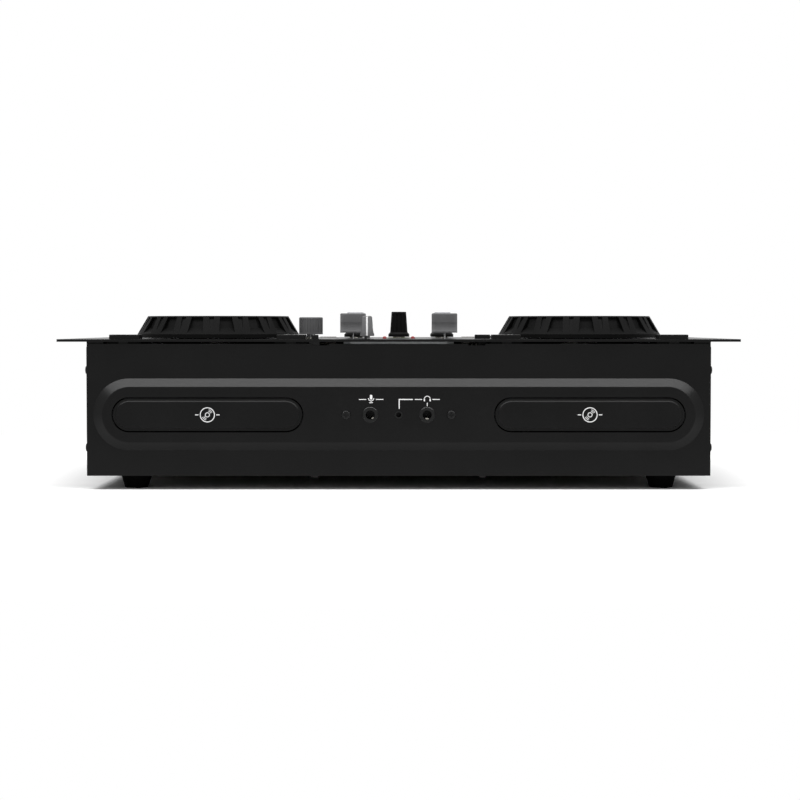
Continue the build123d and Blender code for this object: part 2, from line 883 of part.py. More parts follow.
def scallop_cutter():
    """Finger scallop: a steep floor that ends in a sloping sill."""
    sill_foot, sill_top = jog_base_z + scallop_sill_foot, jog_base_z + scallop_sill_top
    outline = [
        (scallop_floor_top_diameter / 2, z_rim), (scallop_floor_foot_diameter / 2, sill_top),
        (cone_radius(scallop_sill_foot), sill_foot), (jog_base_diameter, sill_foot),
        (jog_base_diameter, z_rim),
    ]
    return tapered_cutter(outline, sill_foot, scallop_top_width, scallop_foot_width)


def notch_cutter():
    """Narrow notch between two ribs, which runs out towards its foot."""
    foot = jog_base_z + notch_foot
    outline = [
        (cone_radius(jog_height - jog_rim) - notch_depth, z_rim), (cone_radius(notch_foot), foot),
        (jog_base_diameter, foot), (jog_base_diameter, z_rim),
    ]
    return tapered_cutter(outline, foot, notch_top_width, notch_foot_width)


def at_jog(side, piece):
    """Moves a piece from the origin's axis to a jog wheel's axis."""
    return Pos(SIDES[side] * deck_offset, depth(jog_depth_position), 0) * piece


def jog_wheel(side):
    """Cogged wheel moulding, hollow underneath, with a hub for its shaft and a seat for its plate."""
    base, crown = jog_base_diameter / 2, jog_top_diameter / 2
    body = revolved([
        (0, jog_base_z), (base, jog_base_z), (base, jog_base_z + jog_base_band),
        (crown, jog_crown_z), (0, jog_crown_z),
    ])
    body = body - [Rot(0, 0, a) * scallop_cutter() for a in ring_of(jog_scallops)]
    half_step = 180.0 / jog_scallops
    body = body - [Rot(0, 0, a + half_step) * notch_cutter() for a in ring_of(jog_scallops)]
    roof = z_jog_seat - jog_wall
    waist = scallop_floor_foot_diameter / 2 - jog_wall
    hollow = revolved([
        (jog_hub_diameter / 2, jog_base_z - 1), (base - jog_skirt_wall, jog_base_z - 1),
        (waist, jog_base_z + scallop_sill_foot), (scallop_floor_top_diameter / 2 - jog_wall, roof),
        (jog_hub_diameter / 2, roof),
    ])
    body -= hollow
    body -= cylinder(jog_plate_diameter + 2 * slip_clearance, z_jog_seat, jog_crown_z + 1)
    body -= cylinder(jog_shaft_diameter + 2 * running_clearance, jog_base_z - 1, z_jog_seat + 1)
    turn = {"left": jog_turn_left, "right": jog_turn_right}[side]
    return at_jog(side, Rot(0, 0, turn - 90) * body)


def jog_plate(side):
    """Round top plate with one finger dimple."""
    high = z_jog_seat + jog_plate_thickness
    plate = cylinder(jog_plate_diameter, z_jog_seat, high)
    plate = fillet(plate.edges().sort_by(Axis.Z)[-1:], jog_plate_round)
    ball = (jog_dimple_diameter ** 2 / 4 + jog_dimple_depth ** 2) / (2 * jog_dimple_depth)
    plate -= Pos(0, jog_dimple_offset, high - jog_dimple_depth + ball) * Sphere(ball)
    return at_jog(side, plate)


def jog_spindle(side):
    """Shaft with its slotted encoder disc."""
    disc_high = z_under - bearing_length - encoder_gap
    disc_low = disc_high - encoder_disc_thickness
    shaft = cylinder(jog_shaft_diameter, disc_low - encoder_shaft_end, z_jog_seat)
    disc = cylinder(encoder_disc_diameter, disc_low, disc_high)
    slot_x = encoder_disc_diameter / 2 - encoder_slot_length
    slot = Pos(slot_x, 0, disc_low) * Box(
        encoder_slot_length, encoder_slot_width, 4 * encoder_disc_thickness)
    disc = disc - [Rot(0, 0, a) * slot for a in ring_of(encoder_slots)]
    return at_jog(side, shaft + disc)


def jog_bearings():
    """Flanged bush under the top panel for each wheel's shaft."""
    bush = cylinder(bearing_outer_diameter, z_under - bearing_length, z_top)
    bush += cylinder(bearing_flange_diameter, z_under - bearing_flange_thickness, z_under)
    bush -= cylinder(jog_shaft_diameter + 2 * running_clearance, z_under - bearing_length - 1, z_top + 1)
    return joined([at_jog(side, bush) for side in SIDES])


# ---- faders ------------------------------------------------------------------------------------
def fader_cap(low):
    """Cap whose long side lies along X: a narrow grip that flares to its foot."""
    high = low + cap_height
    z_waist = high - cap_height * cap_waist_share
    top, waist, foot = cap_top_width / 2, cap_waist_width / 2, cap_foot_width / 2
    foot_edge = (foot, low + cap_foot_band)
    bow_middle = (waist + (foot - waist) * cap_bow_share, (low + z_waist) / 2)
    half = [
        Line((0, low), (foot, low)), Line((foot, low), foot_edge),
        ThreePointArc(foot_edge, bow_middle, (waist, z_waist)),
        Line((waist, z_waist), (top, high)), Line((top, high), (0, high)),
    ]
    outline = half + [mirror(line, Plane.YZ) for line in half]
    face = make_face(Wire([edge for line in outline for edge in line.edges()]))
    upright = Plane(origin=(0, 0, 0), x_dir=(0, 1, 0), z_dir=(1, 0, 0))
    cap = extrude(upright * face, amount=cap_length / 2, both=True)
    cap = fillet([e for e in cap.edges() if e.center().Z > high - 1e-3], cap_round)
    socket_depth = lever_bite + slip_clearance
    return cap - Pos(0, 0, low + socket_depth / 2) * Box(
        lever_thickness + slip_clearance, lever_width + slip_clearance, socket_depth)


def fader(name):
    """One fader's moving piece: its cap, and the steel lever that the cap sits on."""
    x, y, rest, travel, along_x = fader_places()[name]
    cap_low = z_top + cap_lifts[name]
    low, high = z_under - track_channel_depth, cap_low + lever_bite
    lever = Pos(0, 0, (low + high) / 2) * Box(lever_thickness, lever_width, high - low)
    place = Pos(x + rest, y, 0) * Rot(0, 0, 90) if along_x else Pos(x, y + rest, 0)
    return joined([place * fader_cap(cap_low), place * lever])


def fader_tracks():
    """Track housing under the top panel for each fader, open along its lever's way."""
    tracks = []
    for x, y, rest, travel, along_x in fader_places().values():
        length = travel + lever_width + 2 * track_margin
        way = travel + lever_width + 2 * fader_slot_margin
        body = Pos(0, 0, z_under - track_height / 2) * Box(length, track_width, track_height)
        channel_low = z_under - track_channel_depth - track_clearance
        channel_width = lever_thickness + 2 * track_clearance
        body -= Pos(0, 0, (channel_low + z_under) / 2) * Box(way, channel_width, z_under - channel_low)
        tracks.append(Pos(x, y, 0) * Rot(0, 0, 0 if along_x else 90) * body)
    return joined(tracks)


# ---- knobs -------------------------------------------------------------------------------------
def skirted_knob(height, top_diameter, waist_diameter, skirt_diameter):
    """Fluted knob on a flared skirt."""
    low = z_top + knob_lift
    high, rim = low + height, low + skirt_band
    neck = rim + skirt_flare
    grip = revolved([(0, neck), (waist_diameter / 2, neck), (top_diameter / 2, high), (0, high)])
    grip = fillet(grip.edges().sort_by(Axis.Z)[-1:], knob_edge_round)
    length = high - flute_end - neck
    lean = degrees(atan2((waist_diameter - top_diameter) / 2, high - neck))
    reach = (waist_diameter + top_diameter) / 4 - flute_depth + flute_width / 2
    flute = Pos(reach, 0, neck + length / 2) * Rot(0, -lean, 0) * Cylinder(flute_width / 2, length)
    grip = grip - [Rot(0, 0, a + 180.0 / knob_flutes) * flute for a in ring_of(knob_flutes)]
    skirt = revolved([
        (0, low), (skirt_diameter / 2, low), (skirt_diameter / 2, rim),
        (waist_diameter / 2, neck), (0, neck),
    ])
    return grip + skirt - cylinder(knob_cavity_diameter, low - 1, z_top + knob_cavity_height)


def plain_knob():
    """Straight ribbed browse knob that stands clear of the panel on its shaft."""
    low = z_top + browse_knob_lift
    high = low + browse_knob_height
    body = cylinder(browse_knob_diameter, low, high)
    body = fillet(body.edges().sort_by(Axis.Z)[-1:], browse_knob_round)
    groove_width = pi * browse_knob_diameter / browse_knob_ribs / 2
    groove = Pos(browse_knob_diameter / 2, 0, (low + high) / 2) * Box(
        2 * browse_rib_depth, groove_width, browse_knob_height - 2 * browse_rib_margin)
    return body - [Rot(0, 0, a) * groove for a in ring_of(browse_knob_ribs)]


def knob(name):
    """Any knob with its control's shaft, by its name."""
    x, y = knob_places()[name]
    shaft_high = z_top + pot_shaft_bite
    if name == "browse_knob":
        cap = plain_knob()
    elif x == 0:
        cap = skirted_knob(centre_knob_height, centre_knob_top_diameter,
                           centre_knob_waist_diameter, centre_knob_skirt_diameter)
    else:
        cap = skirted_knob(channel_knob_height, channel_knob_top_diameter,
                           channel_knob_waist_diameter, channel_knob_skirt_diameter)
    cap -= cylinder(pot_shaft_diameter + slip_clearance, z_top - 1, shaft_high)
    shaft = cylinder(pot_shaft_diameter, z_under - pot_floor, shaft_high)
    return Pos(x, y, 0) * joined([cap, shaft])


def potentiometers():
    """Control body, bush and nut under each knob."""
    bodies = []
    for x, y in knob_places().values():
        half = pot_body_width / 2
        body = block(x - half, x + half, y - half, y + half, z_under - pot_body_height, z_under)
        body += cylinder(pot_bush_diameter, z_under, z_top + pot_bush_height, x, y)
        body += cylinder(pot_nut_diameter, z_top, z_top + pot_nut_height, x, y)
        hole_low = z_under - pot_floor - running_clearance
        hole = pot_shaft_diameter + 2 * running_clearance
        body -= cylinder(hole, hole_low, z_top + pot_bush_height + 1, x, y)
        bodies.append(body)
    return joined(bodies)


# ---- push buttons ------------------------------------------------------------------------------
def push_button(name):
    """Button cap with a wider lip that the top panel holds down, and a stem to its switch."""
    x, y, width, length, rise = button_places()[name]
    lip_high = z_under - slip_clearance
    lip_low = lip_high - button_lip_height
    half_w, half_l = width / 2, length / 2
    cap = block(x - half_w, x + half_w, y - half_l, y + half_l, lip_low, z_top + rise)
    cap = fillet(cap.edges().filter_by(Axis.Z), button_corner_radius)
    cap = fillet([e for e in cap.edges() if e.center().Z > z_top + rise - 1e-3], button_edge_round)
    lip = button_gap + button_lip
    cap += block(x - half_w - lip, x + half_w + lip, y - half_l - lip, y + half_l + lip, lip_low, lip_high)
    return cap + cylinder(button_stem_diameter, z_under - button_stem_length, lip_low, x, y)


def button_switches():
    """Switch under each push button, on a strap that hangs from the top panel."""
    switches = []
    for x, y, width, length, rise in button_places().values():
        high = z_under - button_stem_length - button_travel - slip_clearance
        low = high - switch_body_height
        half_w = switch_body_width / 2
        half_l = length / 2 + button_gap + button_lip + strap_gap
        piece = block(x - half_w, x + half_w, y - half_w, y + half_w, low, high)
        piece += block(x - half_w, x + half_w, y - half_l - strap_sheet, y + half_l + strap_sheet,
                       low - strap_sheet, low)
        for sy in (-1, 1):
            edges = sorted((y + sy * half_l, y + sy * (half_l + strap_sheet)))
            piece += block(x - half_w, x + half_w, *edges, low - strap_sheet, z_under)
        switches.append(piece)
    return joined(switches)


# ---- keys, displays, lights and top sockets ----------------------------------------------------
def keypads():
    """One silicone mat for each deck, its keys standing up through the top panel."""
    mats = []
    for side in SIDES:
        places = key_places(side)
        xs, ys = [p[0] for p in places], [p[1] for p in places]
        reach_x, reach_y = key_width / 2 + mat_margin, key_depth / 2 + mat_margin
        mat = block(min(xs) - reach_x, max(xs) + reach_x, min(ys) - reach_y, max(ys) + reach_y,
                    z_under - mat_thickness, z_under)
        for x, y in places:
            key = block(x - key_width / 2, x + key_width / 2, y - key_depth / 2, y + key_depth / 2,
                        z_under - mat_thickness, z_top + key_rise)
            key = fillet(key.edges().filter_by(Axis.Z), key_corner_radius)
            upper = [e for e in key.edges() if e.center().Z > z_top + key_rise - 1e-3]
            mat += fillet(upper, key_edge_round)
        mats.append(mat)
    return joined(mats)


def displays():
    """Display module of each deck: a bezel that stands a little proud, with its pane let in."""
    modules = []
    for sx in (-1, 1):
        x, y = sx * display_offset, depth(display_position)
        half_w, half_l = display_width / 2, display_depth / 2
        body = block(x - half_w, x + half_w, y - half_l, y + half_l, z_under, z_top + display_rise)
        upper = [e for e in body.edges() if e.center().Z > z_top + display_rise - 1e-3]
        body = fillet(upper, display_edge_round)
        body += block(x - half_w - display_lip, x + half_w + display_lip, y - half_l - display_lip,
                      y + half_l + display_lip, z_under - display_body_depth, z_under)
        glass_w, glass_l = half_w - display_glass_margin, half_l - display_glass_margin
        body -= block(x - glass_w, x + glass_w, y - glass_l, y + glass_l,
                      z_top + display_rise - display_glass_sink, z_top + display_rise + 1)
        modules.append(body)
    return joined(modules)


def indicator_lights():
    """Two round lamps by the front of the mixer, and the level meter between the channel faders."""
    lights = []
    for sx in (-1, 1):
        x, y = sx * led_offset, depth(led_position)
        lamp = cylinder(led_diameter, z_under, z_top + led_rise, x, y)
        lamp = fillet(lamp.edges().sort_by(Axis.Z)[-1:], led_diameter * led_round_share)
        lights.append(lamp + cylinder(led_collar_diameter, z_under - led_collar_height, z_under, x, y))
    y = depth(meter_position)
    half_w, half_l = meter_width / 2, meter_length / 2
    meter = block(-half_w, half_w, y - half_l, y + half_l, z_under - meter_body_depth, z_top + meter_rise)
    meter = fillet([e for e in meter.edges() if e.center().Z > z_top + meter_rise - 1e-3], meter_edge_round)
    lights.append(meter + block(-half_w - meter_lip, half_w + meter_lip, y - half_l - meter_lip,
                                y + half_l + meter_lip, z_under - meter_body_depth, z_under))
    return joined(lights)


def usb_sockets():
    """Upright memory-stick socket of each deck, with its contact tongue."""
    sockets = []
    for sx in (-1, 1):
        x, y = sx * usb_offset, depth(usb_position)
        high = z_top + usb_rise
        low = high - usb_length
        half_w, half_l = usb_width / 2, usb_height / 2
        shell = block(x - half_w, x + half_w, y - half_l, y + half_l, low, high)
        inner_w, inner_l = half_w - usb_shell, half_l - usb_shell
        cavity = block(x - inner_w, x + inner_w, y - inner_l, y + inner_l, low + usb_floor, high + 1)
        tongue = block(x - inner_w, x + inner_w, y + inner_l - usb_tongue, y + inner_l,
                       low + usb_floor, high - usb_tongue_sink)
        collar = block(x - half_w - usb_collar, x + half_w + usb_collar, y - half_l - usb_collar,
                       y + half_l + usb_collar, z_under - usb_collar, z_under)
        sockets.append(shell + collar - cavity + tongue)
    return joined(sockets)


# ---- front sockets -----------------------------------------------------------------------------
def front_sockets():
    """Microphone and headphone sockets for quarter-inch plugs, and a small one between them."""
    y_inside = y_band + front_sheet
    half_w, half_h = big_socket_body_width / 2, big_socket_body_height / 2
    sockets = []
    for sx in (-1, 1):
        x = sx * big_socket_spacing / 2
        y_end = y_inside + big_socket_length
        body = block(x - half_w, x + half_w, y_inside, y_end, z_band - half_h, z_band + half_h)
        nut = rod_y(big_socket_nut_diameter, y_band - big_socket_nut_height, y_band, x, z_band)
        nut = chamfer(nut.edges().sort_by(Axis.Y)[:1], socket_edge)
        thread = rod_y(big_socket_thread, y_band, y_inside, x, z_band)
        bore = rod_y(big_socket_bore, y_band - 2 * big_socket_nut_height, y_end - socket_floor, x, z_band)
        sockets.append(body + nut + thread - bore)
    half = mini_socket_body / 2
    y_end = y_inside + mini_socket_length
    mini = block(-half, half, y_inside, y_end, z_band - half, z_band + half)
    mini += rod_y(mini_socket_thread, y_band - mini_socket_stand, y_inside, 0, z_band)
    mini -= rod_y(mini_socket_bore, y_band - 2 * mini_socket_stand, y_end - socket_floor, 0, z_band)
    return joined(sockets + [mini])


# ---- disc trays and loaders --------------------------------------------------------------------
y_door = y_band + door_thickness  # the door's back and the tray's front end
y_tray_end = y_door + tray_length
y_disc = y_door + disc_centre_inset
y_loader = y_tub + loader_gap
y_loader_end = y_loader + loader_depth
y_pinion = y_loader + pinion_inset
tray_low = z_band - tray_drop - tray_thickness / 2
tray_high = tray_low + tray_thickness
loader_low = tray_low - loader_footroom
loader_high = tray_high + loader_headroom
z_loader_floor = loader_low + loader_wall
z_hub_seat = tray_high - disc_recess_depth - small_recess_depth
z_pinion = tray_low - pinion_headroom - pinion_thickness  # the pinion's underside
pitch_radius = rack_module * pinion_teeth / 2
rack_pitch = pi * rack_module
rack_root = rack_root_modules * rack_module
rack_x = -(tray_width / 2 - rack_side_inset)  # the rack's outer side, from the deck's middle
pitch_line_x = rack_x + rack_back + rack_root
pinion_x = pitch_line_x + pitch_radius


def at_deck(side, piece):
    """Moves a piece from the object's middle to a deck's centre line."""
    return Pos(SIDES[side] * deck_offset, 0, 0) * piece


def tray_door(side):
    """Oblong door on the tray's front, gently crowned, with two lugs that hold the tray."""
    margin = 2 * door_crown_margin
    crown = slot_prism(door_length - margin, door_height - margin, 0, z_band, y_band - door_crown, y_door)
    front = [e for e in crown.edges() if abs(e.center().Y - (y_band - door_crown)) < 1e-3]
    door = chamfer(front, door_crown) + slot_prism(door_length, door_height, 0, z_band, y_band, y_door)
    for sx in (-1, 1):
        x = sx * (tray_width / 2 - door_lug_length / 2 - door_lug_inset)
        low = tray_high + running_clearance
        door += block(x - door_lug_length / 2, x + door_lug_length / 2, y_door, y_door + door_lug_reach,
                      low, low + door_lug_thickness)
    return at_deck(side, door)


def tray(side):
    """Disc tray with seats for both disc sizes, a slot for the spindle and a rack underneath."""
    half = tray_width / 2
    body = block(-half, half, y_door, y_tray_end, tray_low, tray_high)
    body = fillet(body.edges().filter_by(Axis.Z).sort_by(Axis.Y)[-2:], tray_corner_radius)
    large, small = disc_diameter + 2 * disc_margin, small_disc_diameter + 2 * disc_margin
    body -= cylinder(large, tray_high - disc_recess_depth, tray_high + 1, 0, y_disc)
    body -= cylinder(small, z_hub_seat, tray_high + 1, 0, y_disc)
    body -= cylinder(hub_slot_width, tray_low - 1, tray_high + 1, 0, y_disc)
    half_slot = hub_slot_width / 2
    body -= block(-half_slot, half_slot, y_disc, y_tray_end + 1, tray_low - 1, tray_high + 1)
    return at_deck(side, body + tray_rack())


def tray_rack():
    """Rack under the tray, its teeth towards the deck's middle, a gap at the pinion at rest."""
    lean = tan(radians(pressure_angle))
    half = rack_pitch / 4
    root_x, tip_x = pitch_line_x - rack_root, pitch_line_x + rack_module
    count = 2 * rack_end_teeth + int(tray_travel / rack_pitch)
    first = y_pinion - (rack_end_teeth - 0.5) * rack_pitch
    outline = [
        (root_x, -half - rack_root * lean), (tip_x, -half + rack_module * lean),
        (tip_x, half - rack_module * lean), (root_x, half + rack_root * lean),
    ]
    face = make_face(Polyline([(x, y, tray_low - rack_height) for x, y in outline], close=True))
    tooth = extrude(face, amount=rack_height, dir=(0, 0, 1))
    end = first + (count - 1) * rack_pitch + rack_pitch / 2
    back = block(rack_x, root_x, first - rack_pitch / 2, end, tray_low - rack_height, tray_low)
    return back + [Pos(0, first + i * rack_pitch, 0) * tooth for i in range(count)]


def pinion_outline():
    """Points of the pinion's involute teeth, one of which points to the rack."""
    base_radius = pitch_radius * cos(radians(pressure_angle))
    outer_radius, root_radius = pitch_radius + rack_module, pitch_radius - rack_root

    def involute(radius):
        roll = sqrt(max(radius ** 2 / base_radius ** 2 - 1, 0))
        return roll - atan2(roll, 1)

    half_tooth = pi / pinion_teeth / 2 - pinion_backlash / 2 / pitch_radius + involute(pitch_radius)
    radii = [base_radius + (outer_radius - base_radius) * i / flank_steps for i in range(flank_steps + 1)]
    flank = [(root_radius, half_tooth)] + [(r, half_tooth - involute(r)) for r in radii]
    points = []
    for i in range(pinion_teeth):
        centre = pi + 2 * pi * i / pinion_teeth
        points += [(r * cos(centre - a), r * sin(centre - a)) for r, a in flank]
        points += [(r * cos(centre + a), r * sin(centre + a)) for r, a in reversed(flank)]
    return points


def loading_pinion(side):
    """Pinion that lies under the tray beside its rack and drives it in and out."""
    outline = make_face(Polyline([(x, y, z_pinion) for x, y in pinion_outline()], close=True))
    wheel = extrude(outline, amount=pinion_thickness, dir=(0, 0, 1))
    wheel -= cylinder(pinion_pin_diameter + 2 * running_clearance, z_pinion - 1, tray_low)
    return at_deck(side, Pos(pinion_x, y_pinion, 0) * wheel)


def loader_frame(side):
    """Loader housing on four legs, with all that carries the tray, the pinion, the disc and the lens."""
    half = loader_width / 2
    inner = half - loader_wall
    frame = block(-half, half, y_loader, y_loader_end, loader_low, loader_high)
    frame -= block(-inner, inner, y_loader - 1, y_loader_end - loader_wall,
                   z_loader_floor, loader_high - loader_wall)
    y_ends = (y_loader, y_loader_end - loader_wall)
    guide = tray_width / 2 + runner_clearance
    under, over = tray_low - runner_clearance, tray_high + runner_clearance
    for sx in (-1, 1):
        for reach, z_low, z_high in (
            (guide - runner_width, under - runner_height, under),
            (guide, under, over),
            (guide - keeper_width, over, over + runner_height),
        ):
            frame += block(*sorted((sx * inner, sx * reach)), *y_ends, z_low, z_high)
    frame += cylinder(pinion_seat_diameter, z_loader_floor, z_pinion - slip_clearance, pinion_x, y_pinion)
    frame += cylinder(pinion_pin_diameter, z_loader_floor, tray_low - pinion_headroom, pinion_x, y_pinion)
    motor = cylinder(motor_diameter, z_loader_floor, z_loader_floor + motor_height, 0, y_disc)
    motor -= cylinder(spindle_shaft_diameter + 2 * running_clearance, z_loader_floor + motor_floor,
                      z_loader_floor + motor_height + 1, 0, y_disc)
    frame += motor
    frame += cylinder(clamp_diameter, tray_high + clamp_height, loader_high - loader_wall, 0, y_disc)
    frame += sled_rails()
    for y in (y_loader + loader_leg_inset, y_loader_end - loader_leg_inset):
        for sx in (-1, 1):
            x_leg = sx * (half - loader_leg_inset)
            frame += cylinder(loader_leg_diameter, z_floor, z_loader_floor, x_leg, y)
    return at_deck(side, frame)


z_rail = z_loader_floor + sled_footroom + sled_height / 2
y_sled = y_disc + sled_first  # the lens at rest
y_rail_start = y_sled - sled_length / 2 - rail_end_gap
y_rail_end = y_sled + sled_travel + sled_length / 2 + rail_end_gap


def sled_rails():
    """Two rails for the lens sled, with a lug at each end of each rail."""
    rails = []
    for sx in (-1, 1):
        x = sx * rail_spacing / 2
        rails.append(rod_y(rail_diameter, y_rail_start, y_rail_end, x, z_rail))
        for y in (y_rail_start - rail_lug_thickness, y_rail_end):
            rails.append(block(x - rail_lug_width / 2, x + rail_lug_width / 2, y, y + rail_lug_thickness,
                               z_loader_floor, z_rail + rail_diameter))
    return rails


def laser_sled(side):
    """Sled that carries the lens along the disc's radius, bored for its two rails."""
    low = z_loader_floor + sled_footroom
    y_low, y_high = y_sled - sled_length / 2, y_sled + sled_length / 2
    sled = block(-sled_width / 2, sled_width / 2, y_low, y_high, low, low + sled_height)
    sled += cylinder(lens_diameter, low + sled_height, lens_top, 0, y_sled)
    hole = rail_diameter + 2 * running_clearance
    for sx in (-1, 1):
        sled -= rod_y(hole, y_low - 1, y_high + 1, sx * rail_spacing / 2, z_rail)
    return at_deck(side, sled)


def disc_spindle(side):
    """Turntable hub with a centring cone, on the motor's shaft."""
    z_cone = z_hub_seat + spindle_hub_height
    hub = cylinder(spindle_hub_diameter, z_hub_seat, z_cone, 0, y_disc)
    cone = revolved([
        (0, z_cone), (spindle_cone_diameter / 2, z_cone),
        (spindle_cone_diameter / 2 - spindle_cone_taper, z_cone + spindle_cone_height),
        (0, z_cone + spindle_cone_height),
    ], 0, y_disc)
    shaft_low = z_loader_floor + motor_floor + running_clearance
    return at_deck(side, hub + cone + cylinder(spindle_shaft_diameter, shaft_low, z_hub_seat, 0, y_disc))


# ---- rear connectors ---------------------------------------------------------------------------
def rca_sockets():
    """Phono sockets in two rows, on a plate outside the rear wall and a moulding inside it."""
    places = rca_places()
    xs, zs = [p[0] for p in places], [p[1] for p in places]
    x_ends = (min(xs) - rca_plate_margin, max(xs) + rca_plate_margin)
    z_ends = (min(zs) - rca_plate_margin, max(zs) + rca_plate_margin)
    inside = y_back - case_sheet
    plate = block(*x_ends, y_back, y_back + rca_plate_thickness, *z_ends)
    plate += block(*x_ends, inside - rca_body_depth, inside, *z_ends)
    y_tip = y_back + rca_plate_thickness + rca_length
    for x, z in places:
        plate += rod_y(rca_diameter, inside - 1, y_tip, x, z)
    for x, z in places:
        plate -= rod_y(rca_bore, y_back, y_tip + 1, x, z)
    return plate


def mains_inlet():
    """Mains inlet with three blades in its cavity."""
    x, z = inlet_offset, z_rear
    half_w, half_h = inlet_width / 2, inlet_height / 2
    flange_w, flange_h = inlet_flange_width / 2, inlet_flange_height / 2
    y_outer = y_back + inlet_flange_thickness
    body = block(x - flange_w, x + flange_w, y_back, y_outer, z - flange_h, z + flange_h)
    body += block(x - half_w, x + half_w, y_outer - inlet_body_depth, y_back, z - half_h, z + half_h)
    cavity_w, cavity_h = inlet_cavity_width / 2, inlet_cavity_height / 2
    floor = y_outer - inlet_cavity_depth
    cavity = block(x - cavity_w, x + cavity_w, floor, y_outer + 1, z - cavity_h, z + cavity_h)
    body -= chamfer(cavity.edges().filter_by(Axis.Y).sort_by(Axis.Z)[:2], inlet_cavity_corner)
    for step, rise in ((-1, 1), (0, -1), (1, 1)):
        x_pin, z_pin = x + step * inlet_pin_pitch, z + rise * inlet_pin_rise
        pin_w, pin_h = inlet_pin_thickness / 2, inlet_pin_width / 2
        body += block(x_pin - pin_w, x_pin + pin_w, floor - 1, floor + inlet_pin_length,
                      z_pin - pin_h, z_pin + pin_h)
    return body


y_rocker_face = y_back + switch_rim_thickness
y_rocker_pin = y_rocker_face - rocker_pin_depth


def rocker_pin(clearance):
    """The rocker's upright pin or, with a clearance, its bearing in the frame."""
    half = switch_height / 2 - switch_rim / 2 + rocker_pin_bite + clearance
    diameter = rocker_pin_diameter + 2 * clearance
    return cylinder(diameter, z_rear - half, z_rear + half, switch_offset, y_rocker_pin)


def switch_frame():
    """Frame of the mains switch, with bearings for its rocker's pin."""
    x, z = switch_offset, z_rear
    half_w, half_h = switch_width / 2, switch_height / 2
    y_inner = y_rocker_face - switch_body_depth
    body = block(x - half_w - switch_rim, x + half_w + switch_rim, y_back, y_rocker_face,
                 z - half_h - switch_rim, z + half_h + switch_rim)
    body += block(x - half_w, x + half_w, y_inner, y_back, z - half_h, z + half_h)
    well_w, well_h = half_w - switch_rim, half_h - switch_rim / 2
    body -= block(x - well_w, x + well_w, y_inner + switch_rim, y_rocker_face + 1, z - well_h, z + well_h)
    return body - rocker_pin(running_clearance)


def power_rocker():
    """Rocker of the mains switch, with a wing at each side, tipped to one side of its swing."""
    half_w = switch_width / 2 - switch_rim - rocker_gap
    half_h = switch_height / 2 - switch_rim / 2 - rocker_gap / 2
    y_low = y_rocker_pin - rocker_pin_diameter / 2 - rocker_skin
    outline = [
        (-half_w, y_rocker_face - rocker_wing_depth), (-half_w, y_rocker_face),
        (0, y_rocker_face - rocker_hollow),
        (half_w, y_rocker_face), (half_w, y_rocker_face - rocker_wing_depth),
        (rocker_pin_diameter, y_low), (-rocker_pin_diameter, y_low),
    ]
    face = make_face(Polyline([(switch_offset + dx, y, z_rear - half_h) for dx, y in outline], close=True))
    rocker = extrude(face, amount=2 * half_h, dir=(0, 0, 1)) + rocker_pin(0.0)
    pivot = Axis((switch_offset, y_rocker_pin, z_rear), (0, 0, 1))
    return rocker.rotate(pivot, -rocker_swing / 2)


# ---- boards ------------------------------------------------------------------------------------
def board(x, y, width, length):
    """Circuit board on four standoffs that stand on the tub's bottom."""
    low = z_floor + board_standoff
    plate = block(x - width / 2, x + width / 2, y - length / 2, y + length / 2, low, low + board_thickness)
    for sx in (-1, 1):
        for sy in (-1, 1):
            plate += cylinder(standoff_diameter, z_floor, low, x + sx * (width / 2 - standoff_diameter),
                              y + sy * (length / 2 - standoff_diameter))
    return plate, low + board_thickness


def main_board():
    """Signal board under the mixer, with its processor, memory and sockets."""
    y = y_tub + main_board_setback + main_board_depth / 2
    plate, top = board(0, y, main_board_width, main_board_depth)
    for sx, sy in ((-1, 1), (1, 1), (-1, -2), (1, -3)):
        x_chip, y_chip = sx * main_board_width / 5, y + sy * main_board_depth / 8
        plate += block(x_chip - chip_width / 2, x_chip + chip_width / 2, y_chip - chip_width / 2,
                       y_chip + chip_width / 2, top, top + chip_height)
    header = y + main_board_depth / 2 - header_inset
    half = header_width / 2
    plate += block(-half, half, header - header_depth, header, top, top + header_height)
    return plate


def power_supply():
    """Mains supply board behind the right-hand loader, with its transformer and capacitors."""
    x = supply_board_offset
    y = y_back - case_sheet - supply_board_inset
    plate, top = board(x, y, supply_board_width, supply_board_depth)
    plate += block(x - transformer_width / 2, x + transformer_width / 2, y - transformer_depth / 2,
                   y + transformer_depth / 2, top, top + transformer_height)
    for step in (-1, 1):
        plate += cylinder(capacitor_diameter, top, top + capacitor_height,
                          x + step * (transformer_width / 2 + capacitor_diameter), y)
    return plate


